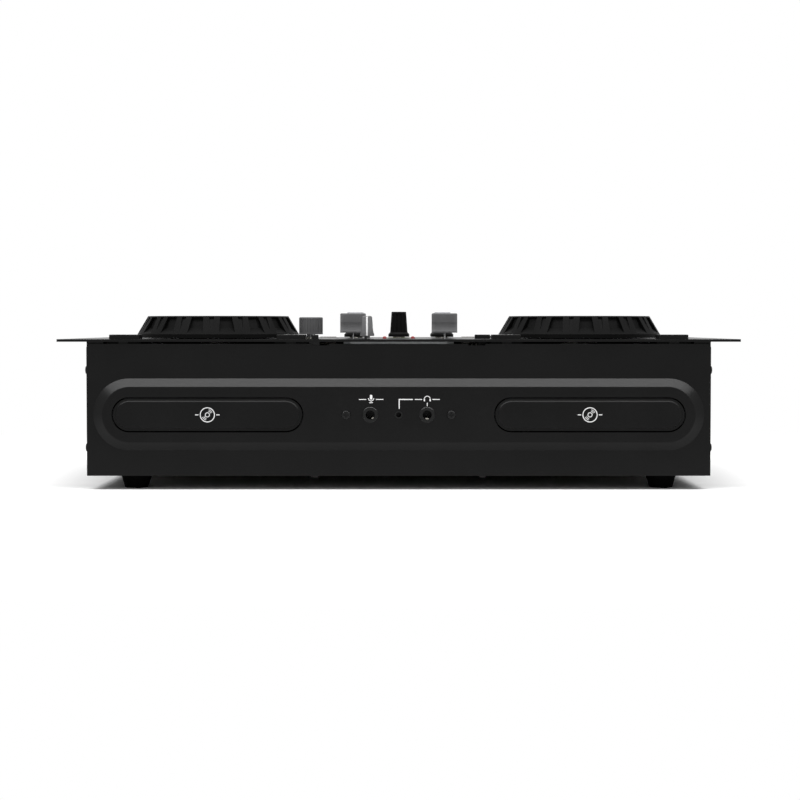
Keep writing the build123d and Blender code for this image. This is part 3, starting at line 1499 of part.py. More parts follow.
# ---- all nodes ---------------------------------------------------------------------------------
def write_all():
    """Builds and writes every node."""
    os.makedirs("parts", exist_ok=True)
    keep("chassis_tub", chassis_tub())
    keep("front_panel", front_panel())
    keep("top_panel", top_panel())
    keep("feet", feet())
    keep("pan_head_screws", pan_head_screws())
    keep("countersunk_screws", countersunk_screws())
    keep("main_board", main_board())
    keep("power_supply", power_supply())
    keep("fader_tracks", fader_tracks())
    keep("potentiometers", potentiometers())
    keep("button_switches", button_switches())
    keep("jog_bearings", jog_bearings())
    keep("displays", displays())
    keep("keypads", keypads())
    keep("indicator_lights", indicator_lights())
    keep("usb_sockets", usb_sockets())
    keep("front_sockets", front_sockets())
    keep("rca_sockets", rca_sockets())
    keep("mains_inlet", mains_inlet())
    keep("switch_frame", switch_frame())
    keep("power_rocker", power_rocker())
    for side in SIDES:
        keep(f"loader_frame_{side}", loader_frame(side))
        keep(f"loading_pinion_{side}", loading_pinion(side))
        keep(f"disc_spindle_{side}", disc_spindle(side))
        keep(f"laser_sled_{side}", laser_sled(side))
        keep(f"tray_{side}", tray(side))
        keep(f"tray_door_{side}", tray_door(side))
        keep(f"jog_wheel_{side}", jog_wheel(side))
        keep(f"jog_plate_{side}", jog_plate(side))
        keep(f"jog_spindle_{side}", jog_spindle(side))
    for name in fader_places():
        keep(name, fader(name))
    for name in knob_places():
        keep(name, knob(name))
    for name in button_places():
        keep(name, push_button(name))


write_all()
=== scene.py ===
"""Looks of the twin disc player: finishes for every CAD node, and the thin pieces printed or
fitted on them.

Lengths in this file are millimetres until a mesh or a lamp is made; Blender's own unit is the metre.
X runs to the right, Y to the back and Z up, as in the CAD model.
"""

import math

import bmesh
import bpy
from mathutils import Matrix, Vector


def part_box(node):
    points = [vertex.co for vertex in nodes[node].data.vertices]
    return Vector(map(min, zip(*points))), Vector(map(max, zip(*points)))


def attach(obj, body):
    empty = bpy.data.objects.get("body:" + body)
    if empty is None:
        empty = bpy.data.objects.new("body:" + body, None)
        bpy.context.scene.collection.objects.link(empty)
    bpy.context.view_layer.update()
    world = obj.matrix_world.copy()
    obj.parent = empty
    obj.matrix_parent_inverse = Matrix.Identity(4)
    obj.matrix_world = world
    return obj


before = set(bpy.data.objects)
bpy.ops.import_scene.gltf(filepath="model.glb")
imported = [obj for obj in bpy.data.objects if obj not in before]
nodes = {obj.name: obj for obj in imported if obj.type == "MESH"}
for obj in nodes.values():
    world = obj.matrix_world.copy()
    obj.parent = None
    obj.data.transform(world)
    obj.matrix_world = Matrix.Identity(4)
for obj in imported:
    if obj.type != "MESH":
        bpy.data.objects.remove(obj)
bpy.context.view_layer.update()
M = 0.001  # metres in a millimetre
SIDES = {"left": -1, "right": 1}


# ---- places read from the CAD nodes, in millimetres --------------------------------------------
def low(name):
    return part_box(name)[0] / M


def high(name):
    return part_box(name)[1] / M


def middle(name):
    return (low(name) + high(name)) / 2


y_band = low("front_panel").y  # face of the front panel's raised band
z_band = middle("tray_door_left").z
z_panel = high("top_panel").z
y_edge = low("top_panel").y  # the top panel's front edge
y_rear = high("chassis_tub").y
z_pane = z_panel + 0.5  # the displays' panes, let into their bezels
z_meter = z_panel + 0.4
board_top = 18.3  # upper face of the circuit boards
switch_floor = z_panel - 15.0  # underside of the button switches

# Places on the top panel: X from its middle, Y from its front edge.
channel_x, channel_y = 33.7, 72.0
pitch_x, pitch_y = 190.0, 196.0
crossfader_y = 18.5
meter_y, meter_pitch = 100.0, 3.6
key_x, key_pitch = 82.0, 20.0
key_rows = (177.0, 158.0)
deck_number_x, deck_number_y = 163.0, 226.0
display_x = 112.0
# Ticks beside the faders and round the knobs.
ticks = 11
channel_tick, pitch_tick, crossfader_tick = 6.0, 7.5, 4.5
tick_line = 0.35
knob_scale_radius = 11.2
# Fader caps, and the contact leaves' sockets on the front.
cap_height, cap_length = 14.3, 18.8
cap_waist = cap_height * 0.45  # down from its top
socket_x, jack_bore, small_bore = 20.0, 6.4, 3.6
mark_z = 63.9  # of the microphone and headphone marks
# Phono sockets: columns, and rows from their middle.
phono_columns, phono_pitch, phono_row = 4, 16.0, 8.0

channel_faders = ("channel_fader_left", "channel_fader_right")
pitch_faders = ("pitch_fader_left", "pitch_fader_right")
faders = channel_faders + pitch_faders + ("crossfader",)
tone_knobs = [f"{word}_knob_{side}" for word in ("bass", "treble", "gain") for side in SIDES]
centre_knobs = ["headphone_level_knob", "headphone_mix_knob", "master_level_knob"]


# ---- material making ---------------------------------------------------------------------------
def linear(code):
    """Linear colour of an sRGB hex code."""
    parts = [int(code[i:i + 2], 16) / 255 for i in (1, 3, 5)]
    return [c / 12.92 if c <= 0.04045 else ((c + 0.055) / 1.055) ** 2.4 for c in parts] + [1.0]


def add_node(tree, kind, values=(), links=(), **settings):
    """Adds a node with its settings, its sockets' values and the outputs that feed its sockets."""
    made = tree.nodes.new(kind)
    for key, value in settings.items():
        setattr(made, key, value)
    for socket, value in dict(values).items():
        made.inputs[socket].default_value = value
    for socket, source in dict(links).items():
        tree.links.new(source, made.inputs[socket])
    return made


def new_material(name, colour, roughness, metallic=0.0, specular=0.5, **sockets):
    """A material and its shader, whose plain numbers sit on the shader's own sockets."""
    made = bpy.data.materials.new(name)
    made.use_nodes = True
    shader = made.node_tree.nodes["Principled BSDF"]
    plain = {"Base Color": linear(colour), "Roughness": roughness, "Metallic": metallic,
             "Specular IOR Level": specular}
    plain.update({socket.replace("_", " "): value for socket, value in sockets.items()})
    for socket, value in plain.items():
        shader.inputs[socket].default_value = value
    return made, made.node_tree, shader


def grained(name, dark, light, roughness, grain_mm, height_mm, drift_mm=35.0, swing=0.06, **more):
    """A sprayed, moulded or plated surface: its grain, a slow drift between two shades, uneven gloss."""
    made, tree, shader = new_material(name, dark, roughness, **more)
    place = add_node(tree, "ShaderNodeTexCoord").outputs["Object"]
    fine = add_node(tree, "ShaderNodeTexNoise", {"Scale": 1 / (grain_mm * M), "Detail": 3.0},
                    {"Vector": place}).outputs["Fac"]
    slow = add_node(tree, "ShaderNodeTexNoise", {"Scale": 1 / (drift_mm * M), "Detail": 2.0},
                    {"Vector": place}).outputs["Fac"]
    both = add_node(tree, "ShaderNodeMath", links={0: fine, 1: slow}, operation="MULTIPLY").outputs[0]
    spread = add_node(tree, "ShaderNodeMapRange", {1: 0.12, 2: 0.42}, {0: both}).outputs[0]
    shade = add_node(tree, "ShaderNodeMix", {6: linear(dark), 7: linear(light)}, {0: spread},
                     data_type="RGBA").outputs[2]
    gloss = add_node(tree, "ShaderNodeMapRange", {3: roughness - swing, 4: roughness + swing},
                     {0: fine}).outputs[0]
    lift = add_node(tree, "ShaderNodeBump", {"Strength": 1.0, "Distance": height_mm * M},
                    {"Height": fine}).outputs[0]
    for socket, source in (("Base Color", shade), ("Roughness", gloss), ("Normal", lift)):
        tree.links.new(source, shader.inputs[socket])
    return made


def spun(name, dark, light, roughness, groove_mm, centre):
    """A metal face spun about an upright axis, with fine rings round it."""
    made, tree, shader = new_material(name, light, roughness, 1.0, Anisotropic=0.6)
    place = add_node(tree, "ShaderNodeTexCoord").outputs["Object"]
    shifted = add_node(tree, "ShaderNodeVectorMath", {1: Vector((centre.x, centre.y, 0)) * M}, {0: place},
                       operation="SUBTRACT").outputs[0]
    # A ring texture repeats every 2 pi / 20 of its own unit.
    rings = add_node(tree, "ShaderNodeTexWave",
                     {"Scale": math.tau / 20 / (groove_mm * M), "Distortion": 1.5, "Detail": 3.0},
                     {"Vector": shifted}, wave_type="RINGS", rings_direction="Z").outputs["Fac"]
    shade = add_node(tree, "ShaderNodeMix", {6: linear(dark), 7: linear(light)}, {0: rings},
                     data_type="RGBA").outputs[2]
    lift = add_node(tree, "ShaderNodeBump", {"Strength": 0.4, "Distance": 0.02 * M},
                    {"Height": rings}).outputs[0]
    tangent = add_node(tree, "ShaderNodeTangent", direction_type="RADIAL", axis="Z").outputs[0]
    for socket, source in (("Base Color", shade), ("Normal", lift), ("Tangent", tangent)):
        tree.links.new(source, shader.inputs[socket])
    return made


# ---- materials ---------------------------------------------------------------------------------
# Polyester powder coat, fine texture, sprayed and baked on folded steel: an even black with a soft
# sparkle. The real grain is about 0.3 mm; it is drawn at 1.1 mm so that it shows in the picture.
coat = grained("powder_coat_black_textured", "#050505", "#0a0a0a", 0.31, 1.1, 0.008, specular=0.12)
# Black oxide on steel screws: near black, a little glossier than the coat, faint wear.
oxide = grained("black_oxide_steel", "#0a0a0a", "#141414", 0.26, 0.7, 0.01, specular=0.15)
# Nitrile rubber, moulded: dull, with a slight bloom.
rubber = grained("moulded_rubber_black", "#030303", "#060606", 0.78, 0.9, 0.03, specular=0.02)
# ABS with a fine spark-eroded grain: satin blacks and greys that differ by piece.
abs_door = grained("moulded_abs_door_black", "#060606", "#0c0c0c", 0.4, 0.9, 0.01, specular=0.1)
abs_tray = grained("moulded_abs_tray_black", "#0f0f10", "#18181a", 0.46, 0.8, 0.015)
abs_frame = grained("moulded_abs_frame_grey", "#232325", "#2e2e31", 0.6, 1.2, 0.03)
abs_wheel = grained("moulded_abs_wheel_black", "#080808", "#101010", 0.55, 0.9, 0.012, specular=0.04)
abs_button = grained("moulded_abs_button_black", "#0a0a0a", "#131313", 0.4, 0.9, 0.008, specular=0.14)
abs_knob = grained("moulded_abs_knob_black", "#050505", "#0b0b0b", 0.5, 0.8, 0.012, specular=0.05)
abs_knob_grey = grained("moulded_abs_knob_grey", "#85868a", "#96979b", 0.5, 0.8, 0.015)
abs_cap = grained("moulded_abs_cap_grey", "#535354", "#646465", 0.48, 0.8, 0.02, specular=0.25)
abs_browse = grained("moulded_abs_browse_grey", "#464647", "#555556", 0.48, 0.8, 0.02, specular=0.25)
nylon = grained("moulded_nylon_black", "#050505", "#0b0b0b", 0.28, 0.8, 0.01, specular=0.2)
# Acetal, moulded: milky white with a waxy sheen.
acetal = grained("moulded_acetal_natural", "#cfccc4", "#e2dfd8", 0.38, 0.8, 0.01)
# Silicone rubber, moulded: matt dark grey that catches a soft sheen at its edges.
silicone = grained("moulded_silicone_grey", "#48494c", "#56575a", 0.66, 1.0, 0.02, specular=0.35,
                   Sheen_Weight=0.3)
# Solder-masked laminate: green under a clear gloss.
laminate = grained("solder_masked_laminate", "#0d3a20", "#155030", 0.32, 1.8, 0.02)
# Cold-rolled steel, zinc plated: light grey with a fine crystal pattern.
zinc = grained("zinc_plated_steel", "#8f9192", "#b3b5b6", 0.34, 1.4, 0.015, metallic=1.0)
# Nickel on brass: a warmer, brighter grey.
nickel = grained("nickel_plated_brass", "#a7a49c", "#c9c6bd", 0.22, 1.0, 0.006, metallic=1.0)
# Steel strip, bright nickel plated and brushed: the faders' levers. Part of their pale grey is a painted
# reflection: the diffuse share under metallic 0.4 paints the white room's reflection, so they look pale
# from every side.
lever_steel_painted_reflection = grained("brushed_nickel_strip_painted_reflection", "#c4c4c4", "#dcdcdc", 0.5, 0.6, 0.004, metallic=0.4)
# Steel, centreless ground: a clean mid grey.
steel = grained("ground_steel", "#8c8d8f", "#aeb0b2", 0.28, 0.6, 0.008, metallic=1.0)
# Acrylic sheet, smoked: almost black, mirror smooth.
smoked = grained("smoked_acrylic", "#050607", "#0b0c0f", 0.09, 3.0, 0.002)
# Diffused red epoxy of a small lamp, lit: it glows and has a wet gloss.
epoxy_red = grained("diffused_epoxy_red", "#6e1616", "#821c1c", 0.25, 0.7, 0.004,
                    Emission_Strength=0.03, Emission_Color=linear("#ff2418"))
# Screen-printing ink, baked: matt, barely raised.
ink_white = grained("screen_ink_white", "#c9c9c9", "#e0e0e0", 0.6, 0.5, 0.005)
ink_grey = grained("screen_ink_grey", "#8d8e90", "#a2a3a5", 0.6, 0.5, 0.005)
# Polypropylene, moulded and self-coloured: the phono sockets' red and white collars.
poly_red = grained("moulded_polypropylene_red", "#a3161c", "#bb2228", 0.4, 0.8, 0.01)
poly_white = grained("moulded_polypropylene_white", "#cdcdca", "#dededb", 0.4, 0.8, 0.01)
# Liquid-crystal segments lit from behind: pale blue that glows a little.
crystal = grained("liquid_crystal_pale_blue", "#9fc4dc", "#b4d4e8", 0.3, 2.0, 0.002,
                  Emission_Strength=0.5, Emission_Color=linear("#8fc8f0"))
# Polycarbonate lenses, tinted, unlit: deep colours under a gloss.
lens_green = grained("tinted_polycarbonate_green", "#124a1c", "#1a5e26", 0.2, 1.5, 0.003)
lens_amber = grained("tinted_polycarbonate_amber", "#7a4a0c", "#8f5a12", 0.2, 1.5, 0.003)
lens_red = grained("tinted_polycarbonate_red", "#6a1212", "#7d1a1a", 0.2, 1.5, 0.003)


# ---- finishes of the CAD nodes -----------------------------------------------------------------
def finish_node(name, *materials, choose=None):
    """Gives a CAD node its materials; choose(centre, normal) picks one for each face, in millimetres."""
    mesh = nodes[name].data
    mesh.materials.clear()
    for material in materials:
        mesh.materials.append(material)
    for face in mesh.polygons:
        face.material_index = int(choose(face.center / M, face.normal)) if choose else 0


whole_nodes = (
    (coat, "chassis_tub front_panel top_panel"),
    (rubber, "feet"),
    (oxide, "pan_head_screws countersunk_screws"),
    (zinc, "fader_tracks"),
    (acetal, "jog_bearings loading_pinion_left loading_pinion_right"),
    (silicone, "keypads"),
    (nickel, "usb_sockets"),
    (nylon, "front_sockets switch_frame power_rocker"),
    (abs_frame, "loader_frame_left loader_frame_right"),
    (abs_tray, "tray_left tray_right disc_spindle_left disc_spindle_right"),
    (abs_door, "tray_door_left tray_door_right"),
    (abs_wheel, "jog_wheel_left jog_wheel_right"),
    (steel, "jog_spindle_left jog_spindle_right"),
    (abs_button, "cue_button_left cue_button_right play_button_left play_button_right"),
    (abs_button, "back_button link_button"),
)
for material, names in whole_nodes:
    for name in names.split():
        finish_node(name, material)

for side in SIDES:
    # Aluminium, spun and clear anodised: bright rings that fan the light.
    plate = spun(f"spun_aluminium_{side}", "#77797c", "#a6a8ab", 0.3, 0.7, middle(f"jog_plate_{side}"))
    finish_node(f"jog_plate_{side}", plate)
    lens_low = high(f"laser_sled_{side}").z - 1.0
    finish_node(f"laser_sled_{side}", abs_tray, smoked, choose=lambda at, normal: at.z > lens_low)

for name in ("main_board", "power_supply"):
    finish_node(name, laminate, nylon, choose=lambda at, normal: at.z > board_top + 0.05)
finish_node("potentiometers", zinc, nickel, choose=lambda at, normal: at.z > z_panel - 0.1)
finish_node("button_switches", nylon, zinc, choose=lambda at, normal: at.z < switch_floor)
finish_node("displays", abs_knob, smoked,
            choose=lambda at, normal: normal.z > 0.9 and z_panel + 0.3 < at.z < z_panel + 0.7)
finish_node("indicator_lights", smoked, epoxy_red, choose=lambda at, normal: at.y < y_edge + 70)
finish_node("rca_sockets", nylon, nickel, choose=lambda at, normal: at.y > y_rear + 2.1)
inlet, inlet_floor = middle("mains_inlet"), y_rear - 14.0


def on_blade(at, normal):
    """True on the three blades that stand in the mains inlet."""
    deep = inlet_floor + 0.05 < at.y < inlet_floor + 11.2 and abs(at.z - inlet.z) < 4.6
    return deep and min(abs(at.x - inlet.x - step) for step in (-7, 0, 7)) < 1.3


finish_node("mains_inlet", nylon, nickel, choose=on_blade)

# Fader caps, and under them the levers, whose pale grey is partly a painted reflection of the white room.
for name in faders:
    cap_low = high(name).z - cap_height
    finish_node(name, abs_cap, lever_steel_painted_reflection, choose=lambda at, normal: at.z < cap_low - 0.05)
skirt, grip = z_panel + 0.85, z_panel + 4.4
for name in tone_knobs + centre_knobs:
    upper = abs_knob_grey if name in tone_knobs else abs_knob
    finish_node(name, steel, abs_knob, upper, choose=lambda at, normal: (at.z > skirt) + (at.z > grip))
finish_node("browse_knob", steel, abs_browse, choose=lambda at, normal: at.z > z_panel + 3.2)


# ---- thin pieces -------------------------------------------------------------------------------
def turned_to(x_axis, y_axis, origin):
    """Matrix from a drawing's own plane to the object, in millimetres."""
    across, up = Vector(x_axis), Vector(y_axis)
    return Matrix.Translation(origin) @ Matrix((across, up, across.cross(up))).transposed().to_4x4()


def on_front(x, z, y):
    """A drawing that faces the user."""
    return turned_to((1, 0, 0), (0, 0, 1), (x, y, z))


def on_top(x, y, z=None):
    """A drawing that lies on the top panel, or at another height."""
    return turned_to((1, 0, 0), (0, 1, 0), (x, y, z_panel if z is None else z))


def on_rear(x, z, y):
    """A drawing that faces away from the user."""
    return turned_to((-1, 0, 0), (0, 0, 1), (x, y, z))


# Strokes of plain numerals and signs in a box 4 wide and 6 high.
STROKES = {
    "0": [[(0, 1), (0, 5), (1, 6), (3, 6), (4, 5), (4, 1), (3, 0), (1, 0), (0, 1)]],
    "1": [[(0.8, 4.8), (2.2, 6), (2.2, 0)]],
    "2": [[(0, 4.8), (1, 6), (3, 6), (4, 5), (4, 3.8), (0, 0), (4, 0)]],
    "3": [[(0, 6), (4, 6), (1.8, 3.6), (3, 3.6), (4, 2.6), (4, 1), (3, 0), (1, 0), (0, 1)]],
    "4": [[(3, 0), (3, 6), (0, 2), (4, 2)]],
    "5": [[(4, 6), (0.4, 6), (0, 3.4), (3, 3.6), (4, 2.6), (4, 1), (3, 0), (1, 0), (0, 0.8)]],
    "6": [[(3.6, 6), (1.6, 6), (0, 3.6), (0, 1), (1, 0), (3, 0), (4, 1), (4, 2.4), (3, 3.4), (0.2, 3.2)]],
    "7": [[(0, 6), (4, 6), (1.4, 0)]],
    "8": [[(1, 3.2), (0, 4.2), (0, 5), (1, 6), (3, 6), (4, 5), (4, 4.2), (3, 3.2), (1, 3.2), (0, 2.2),
           (0, 1), (1, 0), (3, 0), (4, 1), (4, 2.2), (3, 3.2)]],
    "9": [[(0.4, 0), (2.4, 0), (4, 2.4), (4, 5), (3, 6), (1, 6), (0, 5), (0, 3.6), (1, 2.6), (3.8, 2.8)]],
    "+": [[(0.4, 3), (3.6, 3)], [(2, 1.4), (2, 4.6)]],
    "-": [[(0.4, 3), (3.6, 3)]],
}
RAISED = 0.05  # of a print above what carries it
SUNK = 0.02  # of its back into that


class Drawing:
    """Flat artwork in millimetres that becomes one thin piece."""

    def __init__(self, raised=RAISED):
        self.mesh = bmesh.new()
        self.raised = raised

    def prism(self, outline):
        """A flat shape with straight sides."""
        backs = [self.mesh.verts.new((x, y, -SUNK)) for x, y in outline]
        fronts = [self.mesh.verts.new((x, y, self.raised)) for x, y in outline]
        self.mesh.faces.new(list(reversed(backs)))
        self.mesh.faces.new(fronts)
        for i in range(len(outline)):
            j = (i + 1) % len(outline)
            self.mesh.faces.new((backs[i], backs[j], fronts[j], fronts[i]))

    def line(self, points, width):
        """A stroke of even width with mitred corners; it closes where its ends meet."""
        points = [Vector(p) for p in points]
        closed = (points[0] - points[-1]).length < 1e-6
        if closed:
            points = points[:-1]
        count = len(points)
        rows = []
        for i, point in enumerate(points):
            before = point - points[i - 1] if closed or i else points[1] - point
            after = points[(i + 1) % count] - point if closed or i < count - 1 else point - points[i - 1]
            one, two = before.normalized(), after.normalized()
            tip = Vector((-(one + two).y, (one + two).x))
            tip = tip.normalized() if tip.length > 1e-6 else Vector((-one.y, one.x))
            reach = width / 2 / max(0.4, tip.dot(Vector((-one.y, one.x))))
            rows.append([self.mesh.verts.new((*(point + tip * side * reach), z))
                         for side, z in ((1, -SUNK), (-1, -SUNK), (-1, self.raised), (1, self.raised))])
        for i in range(count if closed else count - 1):
            here, there = rows[i], rows[(i + 1) % count]
            for k in range(4):
                self.mesh.faces.new((here[k], here[(k + 1) % 4], there[(k + 1) % 4], there[k]))
        if not closed:
            self.mesh.faces.new(list(reversed(rows[0])))
            self.mesh.faces.new(rows[-1])

    def arc(self, x, y, radius, width, start=0.0, end=360.0, steps=40):
        """A ring or part of one."""
        angles = [math.radians(start + (end - start) * i / steps) for i in range(steps + 1)]
        points = [(x + radius * math.cos(a), y + radius * math.sin(a)) for a in angles]
        if end - start == 360:
            points[-1] = points[0]
        self.line(points, width)

    def dot(self, x, y, radius, steps=20):
        turns = [math.tau * i / steps for i in range(steps)]
        self.prism([(x + radius * math.cos(a), y + radius * math.sin(a)) for a in turns])

    def text(self, word, x, y, height, width):
        """Numerals and signs, centred on a point."""
        unit = height / 6
        left = x - (len(word) * 4 + (len(word) - 1) * 2) * unit / 2
        for i, letter in enumerate(word):
            for stroke in STROKES[letter]:
                self.line([(left + (i * 6 + u) * unit, y + (v - 3) * unit) for u, v in stroke], width)

    def piece(self, name, place, material, body, slot=None):
        """Makes the piece in its place and lets it ride on its body."""
        for vertex in self.mesh.verts:
            vertex.co = (place @ vertex.co) * M
        return finished(name, self.mesh, material, body)


def finished(name, mesh, material, body):
    """Turns a bmesh in metres into an object that rides on a CAD body."""
    bmesh.ops.recalc_face_normals(mesh, faces=mesh.faces)
    data = bpy.data.meshes.new(name)
    mesh.to_mesh(data)
    mesh.free()
    data.materials.append(material)
    made = bpy.data.objects.new(name, data)
    bpy.context.scene.collection.objects.link(made)
    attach(made, body)
    return made


def ribbon(mesh, profile, across, width, inner, outer, place):
    """A band that follows a profile of (out, up) points, centred on an offset across it."""
    points = [Vector(p) for p in profile]
    rows = []
    for i, point in enumerate(points):
        run = (points[min(i + 1, len(points) - 1)] - points[max(i - 1, 0)]).normalized()
        away = Vector((run.y, -run.x))
        corners = [Vector((across + side * width / 2, *(point + away * depth)))
                   for side, depth in ((-1, inner), (1, inner), (1, outer), (-1, outer))]
        rows.append([mesh.verts.new((place @ corner) * M) for corner in corners])
    for here, there in zip(rows, rows[1:]):
        for k in range(4):
            mesh.faces.new((here[k], here[(k + 1) % 4], there[(k + 1) % 4], there[k]))
    mesh.faces.new(list(reversed(rows[0])))
    mesh.faces.new(rows[-1])


# ---- marks on the front ------------------------------------------------------------------------
def front_mark(name, x, z, drawing, material=ink_white, body="case", y=y_band):
    drawing.piece(name, on_front(x, z, y), material, body)


microphone = Drawing()
microphone.prism([(0.9 * math.cos(a), 1.4 + math.copysign(0.8, math.sin(a)) + 0.9 * math.sin(a))
                  for a in [math.radians(22.5 * i + 11.25) for i in range(16)]])
microphone.arc(0, 0.7, 1.9, 0.5, 180, 360, 16)
microphone.line([(0, -1.1), (0, -2.4)], 0.5)
microphone.line([(-1.3, -2.5), (1.3, -2.5)], 0.5)
for x in (-1, 1):
    microphone.line([(x * 3.4, -0.2), (x * 8.6, -0.2)], 0.55)
front_mark("microphone_mark", -19.4, mark_z, microphone)

headphones = Drawing()
headphones.arc(0, 0.0, 2.1, 0.5, 0, 180, 20)
for x in (-1, 1):
    headphones.prism([(x * 1.6, -1.5), (x * 2.5, -1.5), (x * 2.5, 0.3), (x * 1.6, 0.3)][::x])
    headphones.line([(x * 3.6, -0.2), (x * 8.8, -0.2)], 0.55)
front_mark("headphone_mark", 20.1, mark_z, headphones)

guide_lines = Drawing()
guide_lines.line([(0.35, 57.2 - z_band), (0.35, 63.7 - z_band), (10.0, 63.7 - z_band)], 0.7)
guide_lines.line([(20.1, 59.0 - z_band), (20.1, 61.4 - z_band)], 0.6)
front_mark("headphone_guide_lines", 0, z_band, guide_lines)

for side in SIDES:
    disc = Drawing()
    disc.arc(0, 0, 5.0, 0.6)
    disc.arc(0, 0, 1.5, 0.5, steps=24)
    for start in (25, 205):
        for radius in (2.7, 3.7):
            disc.arc(0, 0, radius, 0.4, start, start + 50, 8)
    for x in (-1, 1):
        disc.line([(x * 6.2, 0), (x * 8.6, 0)], 0.6)
    at = middle(f"tray_door_{side}")
    front_mark(f"disc_mark_{side}", at.x, z_band, disc, ink_white, f"disc_tray_{side}",
               low(f"tray_door_{side}").y)


# ---- marks on the top panel --------------------------------------------------------------------
def top_mark(name, x, y, drawing, material=ink_grey, body="case", z=None):
    drawing.piece(name, on_top(x, y, z), material, body)


def scale(drawing, count, pitch, starts, length, upright):
    """Rows of ticks beside a fader's slot, every fifth one longer."""
    for i in range(count):
        along = (i - (count - 1) / 2) * pitch
        reach = length * (1.5 if i % 5 == 0 else 1.0)
        for start in starts:
            end = start + math.copysign(reach, start)
            points = [(start, along), (end, along)] if upright else [(along, start), (along, end)]
            drawing.line(points, tick_line)


for side, sx in SIDES.items():
    marks = Drawing()
    scale(marks, ticks, channel_tick, (-11.0, 11.0), 2.0, True)
    for i, word in ((0, "0"), (5, "5"), (10, "10")):
        marks.text(word, sx * 16.6, (i - 5) * channel_tick, 2.4, tick_line)
    top_mark(f"channel_scale_{side}", sx * channel_x, y_edge + channel_y, marks)
    marks = Drawing()
    scale(marks, ticks, pitch_tick, (-11.0, 11.0), 2.0, True)
    for i, word in ((0, "0"), (-5, "+"), (5, "-")):
        marks.text(word, sx * 16.4, i * pitch_tick, 2.6, 0.4)
    top_mark(f"pitch_scale_{side}", sx * pitch_x, y_edge + pitch_y, marks)

marks = Drawing()
scale(marks, ticks, crossfader_tick, (11.0,), 1.8, False)
top_mark("crossfader_scale", 0, y_edge + crossfader_y, marks)

for name in tone_knobs + centre_knobs:
    at = middle(name)
    marks = Drawing()
    for i in range(ticks):
        a = math.radians(-60 + 30 * i)
        dot_radius = 0.55 if i in (0, 5, 10) else 0.38
        marks.dot(knob_scale_radius * math.cos(a), knob_scale_radius * math.sin(a), dot_radius, 12)
    top_mark(f"{name}_scale", at.x, at.y, marks)

for side, sx in SIDES.items():
    marks = Drawing()
    for column in range(5):
        for row in range(2):
            number = str(column + 1 + 5 * row)
            place = column if sx > 0 else 4 - column
            x, y = sx * (key_x + key_pitch * place), y_edge + key_rows[row] - 7.0
            marks.text(number, x, y, 2.4, tick_line)
    top_mark(f"key_numbers_{side}", 0, 0, marks)
    marks = Drawing()
    marks.text("1" if sx < 0 else "2", 0, 0, 8.0, 1.0)
    marks.arc(0, 0, 7.0, 0.6)
    top_mark(f"deck_number_{side}", sx * deck_number_x, y_edge + deck_number_y, marks, ink_white)

    top = high(f"play_button_{side}").z
    marks = Drawing()
    marks.prism([(-5.2, -2.6), (-0.8, 0), (-5.2, 2.6)])
    for x in (1.2, 3.6):
        marks.prism([(x, -2.6), (x + 1.4, -2.6), (x + 1.4, 2.6), (x, 2.6)])
    at = middle(f"play_button_{side}")
    top_mark(f"play_mark_{side}", at.x, at.y, marks, ink_white, f"play_button_{side}_cap", top)
    marks = Drawing()
    marks.arc(0, 0, 3.4, 0.8)
    marks.dot(0, 0, 1.4)
    at = middle(f"cue_button_{side}")
    top_mark(f"cue_mark_{side}", at.x, at.y, marks, ink_white, f"cue_button_{side}_cap", top)

marks = Drawing()
marks.line([(0.8, 1.8), (-0.9, 0), (0.8, -1.8)], 0.6)
at = middle("back_button")
top_mark("back_mark", at.x, at.y, marks, ink_white, "back_button_cap", high("back_button").z)
marks = Drawing()
for x in (-1.2, 1.2):
    marks.arc(x, 0, 1.9, 0.5, steps=24)
at = middle("link_button")
top_mark("link_mark", at.x, at.y, marks, ink_white, "link_button_cap", high("link_button").z)


# ---- displays and meter ------------------------------------------------------------------------
# The seven strokes of a digit 4 wide and 7 high, and which of them each digit lights.
SEGMENTS = {
    "a": ((0.6, 7), (3.4, 7)), "b": ((4, 6.4), (4, 4.1)), "c": ((4, 2.9), (4, 0.6)),
    "d": ((0.6, 0), (3.4, 0)), "e": ((0, 2.9), (0, 0.6)), "f": ((0, 6.4), (0, 4.1)),
    "g": ((0.6, 3.5), (3.4, 3.5)),
}
LIT = {"0": "abcdef", "1": "bc", "2": "abged", "3": "abgcd", "4": "fgbc", "5": "afgcd", "6": "afgedc",
       "7": "abc", "8": "abcdefg", "9": "abcfgd"}


def lit_number(drawing, word, x, y, height):
    """Seven-stroke digits that start at a point; a colon is two dots."""
    unit = height / 7
    for letter in word:
        if letter == ":":
            for v in (2, 5):
                drawing.dot(x + unit, y + v * unit, 0.45 * unit, 10)
            x += 2.6 * unit
            continue
        for key in LIT[letter]:
            drawing.line([(x + u * unit, y + v * unit) for u, v in SEGMENTS[key]], 0.75 * unit)
        x += 6 * unit


for side, sx in SIDES.items():
    shown = Drawing(0.03)
    lit_number(shown, "01" if sx < 0 else "02", -29, 1.5, 9)
    lit_number(shown, "00:00", -9, 1.5, 9)
    shown.line([(-29, -6), (29, -6), (29, -9), (-29, -9), (-29, -6)], 0.5)
    for i in range(14):
        shown.prism([(u + 2 * i, v) for u, v in ((-28, -8.4), (-26.6, -8.4), (-26.6, -6.6), (-28, -6.6))])
    place = on_top(sx * display_x, middle("displays").y, z_pane)
    shown.piece(f"display_figures_{side}", place, crystal, "case")

for colour, glass, rows in (("green", lens_green, range(0, 8)), ("amber", lens_amber, range(8, 10)),
                            ("red", lens_red, range(10, 12))):
    lenses = Drawing(0.12)
    for row in rows:
        for x in (-5.0, 5.0):
            y = (row - 5.5) * meter_pitch
            lenses.prism([(x - 3.2, y - 1.2), (x + 3.2, y - 1.2), (x + 3.2, y + 1.2), (x - 3.2, y + 1.2)])
    lenses.piece(f"meter_lenses_{colour}", on_top(0, y_edge + meter_y, z_meter), glass, "case")


